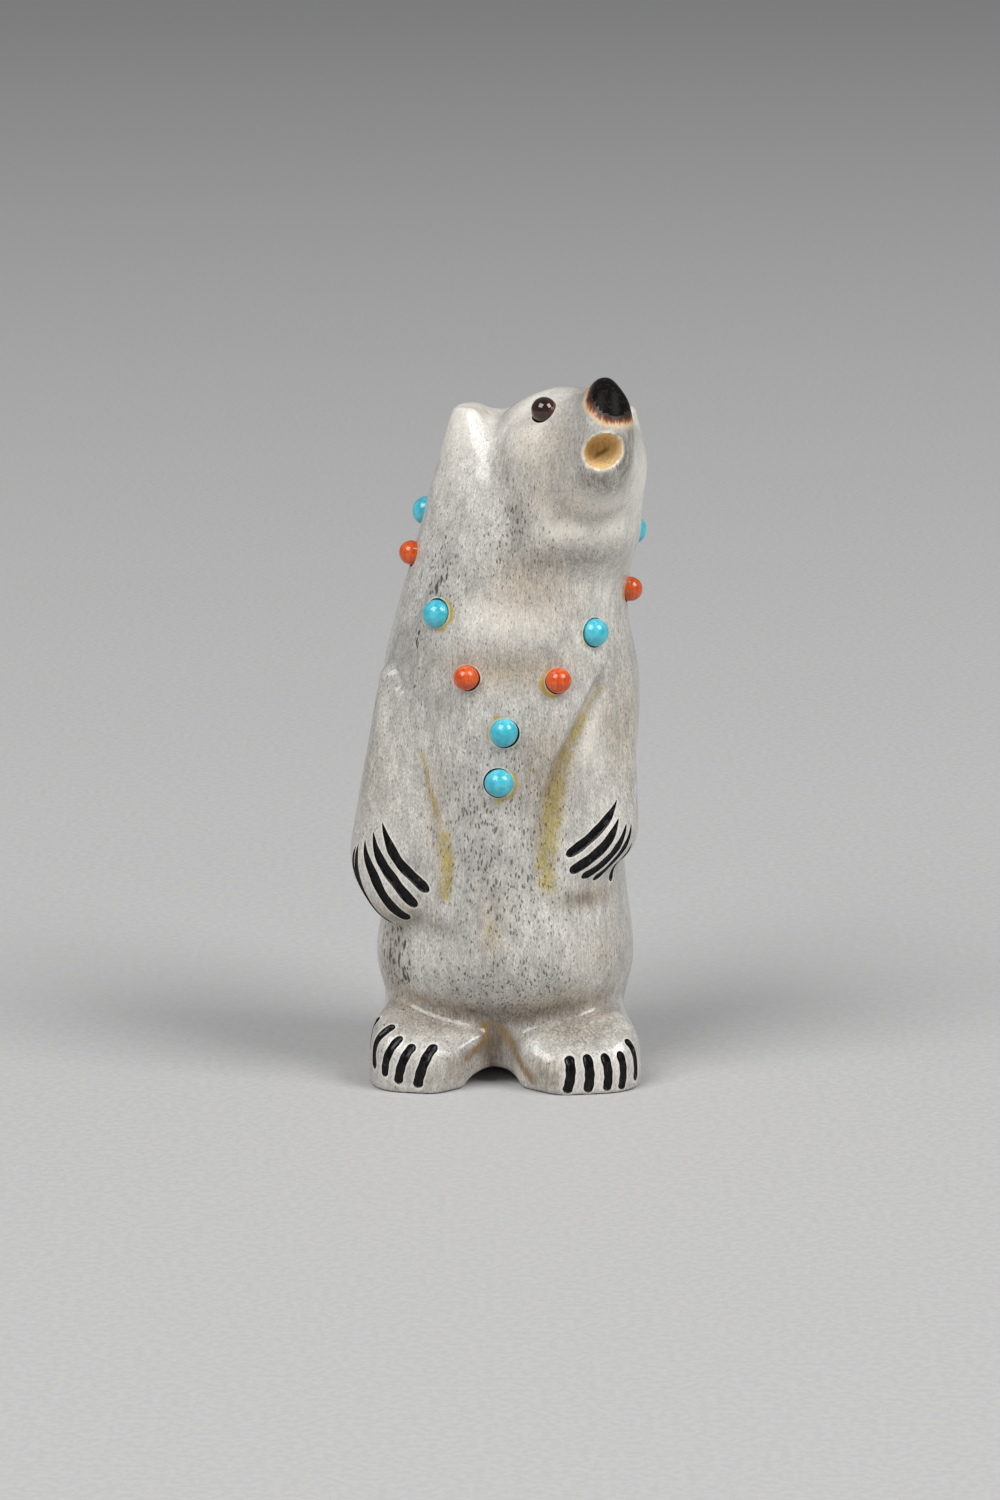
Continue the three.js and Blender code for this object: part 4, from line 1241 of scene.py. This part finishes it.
# %% Antler: grain and flecks
FLECK_KINDS = [
    # mark, its range, the widths over that range, spacing, length, share, and darkness at 0 and 1
    ("porous", (0.0, 1.0), (0.33, 0.48), 0.3, 2.8, 0.75, (0.42, 0.8)),
    ("porous", (0.1, 1.0), (0.0, 0.40), 0.42, 3.6, 0.6, (0.75, 0.75)),
    ("cracked", (0.05, 0.6), (0.0, 0.48), 0.5, 6.0, 0.7, (0.92, 0.92)),
    ("pitted", (0.05, 0.6), (0.0, 0.55), 0.55, 2.4, 0.85, (0.95, 0.95)),
]

tone = times(ramp(tree, grain, 0.0, 1.0, 0.74, 1.12), ramp(tree, fibre, 0.0, 1.0, 0.88, 1.08))
tone = times(tone, ramp(tree, blotch, 0.0, 1.0, 0.88, 1.08))
contrast = times(calc(tree, "SUBTRACT", tone, 1.0), ramp(tree, painted_light, 0.0, 1.0, 1.0, 0.45))
tone = calc(tree, "ADD", 1.0, contrast)
tone_colour = add_node(tree, "CombineColor", {0: tone, 1: tone, 2: tone}).outputs[0]
colour = mix(tree, 1.0, colour, tone_colour, how="MULTIPLY")

dark = 0.0
for name, limits, widths, spacing, length, share, darkness in FLECK_KINDS:
    amount = mark(tree, name)
    layout = {"Spacing": spacing, "Length": length, "Share": share}
    width = ramp(tree, amount, *limits, *widths)
    spots = place_group(tree, flecks, Place=place, Width=width, **layout)
    spots = times(spots, ramp(tree, amount, 0.0, 1.0, *darkness))
    dark = calc(tree, "MAXIMUM", dark, spots)
colour = paint(colour, dark, 58, 50, 42)
print("antler nodes:", len(tree.nodes))

# %% [markdown]
# The yellow stain is a film that lets the antler show through, so it multiplies the colour. Orange
# stain and glue cover it. The glue breaks up into blobs. Rims of seats and claws are painted pale:
# a painted highlight along their rounded edges, with some pale chipping.

# %% Antler: stains, glue and painted rim highlights
ragged = ramp(tree, fibre, 0.0, 1.0, 0.55, 1.25)
yellow = ramp(tree, times(mark(tree, "yellow"), ragged), 0.1, 0.8)
yellow_film = mix(tree, 1.0, colour, srgb(226, 210, 142), how="MULTIPLY")
orange = ramp(tree, times(mark(tree, "orange"), ragged), 0.15, 0.9, 0.0, 0.9)
blobs = ramp(tree, antler_clouds(1.0, 1.0), 0.0, 1.0, 0.5, 1.4)
glue_film = ramp(tree, times(mark(tree, "glue"), blobs), 0.1, 0.5, 0.0, 0.95)
# A pale painted highlight round the rims of seats and claws, with some chipping.
rim_highlight_and_chips = ramp(tree, mark(tree, "rim"), 0.02, 0.25, 0.5, 0.0)

colour = mix(tree, yellow, colour, yellow_film)
colour = paint(colour, orange, 132, 102, 48)
colour = paint(colour, glue_film, 186, 158, 74)
colour = paint(colour, rim_highlight_and_chips, 240, 236, 226)
print("antler nodes:", len(tree.nodes))

# %% [markdown]
# The tip of the nose was burnt black. Round the black run brown, orange and cream, with a ragged
# edge along the fibres. The lip is pale and the inside of the mouth is tan, with painted shade that
# deepens towards its floor and a dark line of painted shade for one short crease. Both are found by
# how far a point is from the middle of the lump that shaped it, where 1 is the lump's own skin.

# %% Antler: scorch and mouth
SCORCH_BANDS = [
    # where the band is full, where it ends, its strength and its colour, from the outside in
    (1.10, 1.24, 0.9, (232, 204, 162)),
    (1.03, 1.14, 1.0, (166, 96, 40)),
    (0.97, 1.09, 1.0, (62, 32, 17)),
]
MOUTH_CREASE = -0.2

mouth_axes, mouth_size = within(tree, place, *MOUTH)
lip_edge = calc(tree, "ADD", mouth_size, ramp(tree, blotch, 0.0, 1.0, -0.05, 0.08))
colour = paint(colour, ramp(tree, lip_edge, 1.06, 1.34, 0.95, 0.0), 238, 230, 212)

_, nose_size = within(tree, place, *NOSE_CAP)
scorch = calc(tree, "ADD", nose_size, ramp(tree, fibre, 0.0, 1.0, -0.02, 0.03))
for full, edge, strength, band in SCORCH_BANDS:
    colour = paint(colour, ramp(tree, scorch, full, edge, strength, 0.0), *band)
black = mix(tree, grain, srgb(20, 18, 17), srgb(44, 38, 34))
colour = mix(tree, ramp(tree, scorch, 0.91, 1.00, 1.0, 0.0), colour, black)

# Tan inside the mouth, with painted shade towards its floor and along one short crease.
tan_and_shade = mix(tree, ramp(tree, mouth_axes[1], 0.2, 1.0), srgb(228, 196, 140), srgb(202, 166, 108))
tan_and_shade = paint(tan_and_shade, ramp(tree, fibre, 0.3, 1.0, 0.0, 0.35), 150, 108, 56)
aside = calc(tree, "ABSOLUTE", calc(tree, "SUBTRACT", mouth_axes[2], MOUTH_CREASE))
along = ramp(tree, calc(tree, "ABSOLUTE", mouth_axes[0]), 0.25, 0.6, 0.7, 0.0)
tan_and_shade = paint(tan_and_shade, times(ramp(tree, aside, 0.0, 0.22, 1.0, 0.0), along), 96, 58, 24)
colour = mix(tree, ramp(tree, mouth_size, 1.06, 1.11, 1.0, 0.0), colour, tan_and_shade)
print("antler nodes:", len(tree.nodes))

# %% [markdown]
# The last step is the surface itself. A thin coat gives the polish its sharp lights, and stops at
# the scorch and the mouth, where no polishing wheel reached. Flecks are rough, and they lie 0.04
# mm below the skin.

# %% Antler: polish and relief
FLECK_DEPTH_MM = 0.04

relief = calc(tree, "SUBTRACT", times(grain, 0.12), dark)
unpolished = ramp(tree, mouth_size, 1.02, 1.08, 1.0, 0.0)
roughness = ramp(tree, wide_tone, 0.0, 1.0, 0.42, 0.52)
roughness = calc(tree, "ADD", roughness, times(dark, 0.3))
roughness = calc(tree, "ADD", roughness, times(unpolished, 0.25))
polish = ramp(tree, scorch, 1.0, 1.16)
polish = calc(tree, "MINIMUM", polish, calc(tree, "SUBTRACT", 1.0, unpolished))
tree.links.new(times(polish, 0.8), shader.inputs["Coat Weight"])
finish_surface(tree, shader, colour, roughness, relief, FLECK_DEPTH_MM)
print("antler nodes:", len(tree.nodes))

# %% [markdown]
# ## The other materials
# All the others are clouds of two tones, some with small specks. Burnt antler is black and dull,
# with a little ash. The glue in the seats is old and brown, and yellow where it is thin. The
# stones are polished: the turquoise is an even blue with a few pin-pricks, the coral has a fine
# growth grain and small pits, and the dark stone of the eyes is a brown that is almost black.

# %% Clouded surfaces
def clouded(material, cloud, tones, shine, relief_mm, specks=None, **constants):
    """Fills in a material of two tones. Specks are a layout, a strength and a colour."""
    tree, shader, place = open_material(material, **constants)
    shade = height = place_group(tree, clouds, Place=place, **cloud)
    colour = mix(tree, shade, srgb(*tones[0]), srgb(*tones[1]))
    if specks:
        layout, strength, speck = specks
        height = place_group(tree, flecks, Place=place, **layout)
        colour = mix(tree, calc(tree, "MULTIPLY", height, strength), colour, srgb(*speck))
    roughness = ramp(tree, shade, 0.0, 1.0, *shine)
    finish_surface(tree, shader, colour, roughness, height, relief_mm)
    print(material.name, "nodes:", len(tree.nodes))


clouded(
    charred,
    {"Size": 0.3, "Length": 1.5, "Detail": 4.0, "Low": 0.5, "High": 0.8},
    [(20, 18, 17), (50, 45, 41)],
    (0.28, 0.6),
    0.02,
    IOR=1.12,
)
clouded(
    seat_glue,
    {"Size": 0.6, "Detail": 3.0, "Low": 0.4, "High": 0.6},
    [(46, 34, 22), (128, 98, 44)],
    (0.3, 0.5),
    0.05,
)
clouded(
    stone_materials["turquoise"],
    {"Size": 0.9, "Detail": 3.0, "Low": 0.3, "High": 0.7},
    [(52, 176, 198), (92, 204, 220)],
    (0.16, 0.24),
    -0.01,
    specks=({"Spacing": 0.5, "Length": 1.0, "Width": 0.16, "Share": 0.25}, 0.5, (60, 110, 112)),
    Coat_Weight=0.4,
)
clouded(
    stone_materials["coral"],
    {"Size": 0.35, "Length": 2.5, "Detail": 3.0},
    [(200, 68, 14), (228, 98, 26)],
    (0.18, 0.28),
    -0.015,
    specks=({"Spacing": 0.6, "Length": 1.2, "Width": 0.3, "Share": 0.3}, 0.6, (150, 44, 12)),
    Coat_Weight=0.4,
)
clouded(
    stone_materials["eye"],
    {"Size": 1.1, "Detail": 2.0},
    [(34, 17, 13), (66, 30, 20)],
    (0.05, 0.1),
    0.002,
    Coat_Weight=0.5,
)
pale_floor = bpy.data.materials.new("pale_floor")
floor.data.materials.append(pale_floor)
clouded(
    pale_floor, {"Size": 0.8, "Detail": 2.0}, [(186, 185, 184), (190, 189, 188)], (0.7, 0.8), 0.01
)

# %% [markdown]
# The claws hold a black paste, scraped flush. It has grey scratches, but only where it is worn,
# so here the clouds also hold back the specks. Paste and charcoal mirror less than polished
# antler does, and get a low index of refraction.

# %% Claw filling
tree, shader, place = open_material(claw_filling, IOR=1.3)
worn = place_group(tree, clouds, Place=place, Size=0.5, Length=1.5, Detail=4.0, Low=0.48, High=0.7)
scratch = place_group(tree, flecks, Place=place, Spacing=0.35, Length=2.0, Width=0.4, Share=0.4)
colour = mix(tree, worn, srgb(8, 8, 8), srgb(32, 30, 28))
colour = mix(tree, calc(tree, "MULTIPLY", scratch, worn), colour, srgb(96, 92, 86))
finish_surface(tree, shader, colour, ramp(tree, worn, 0.0, 1.0, 0.2, 0.5), worn, 0.02)
print(claw_filling.name, "nodes:", len(tree.nodes))
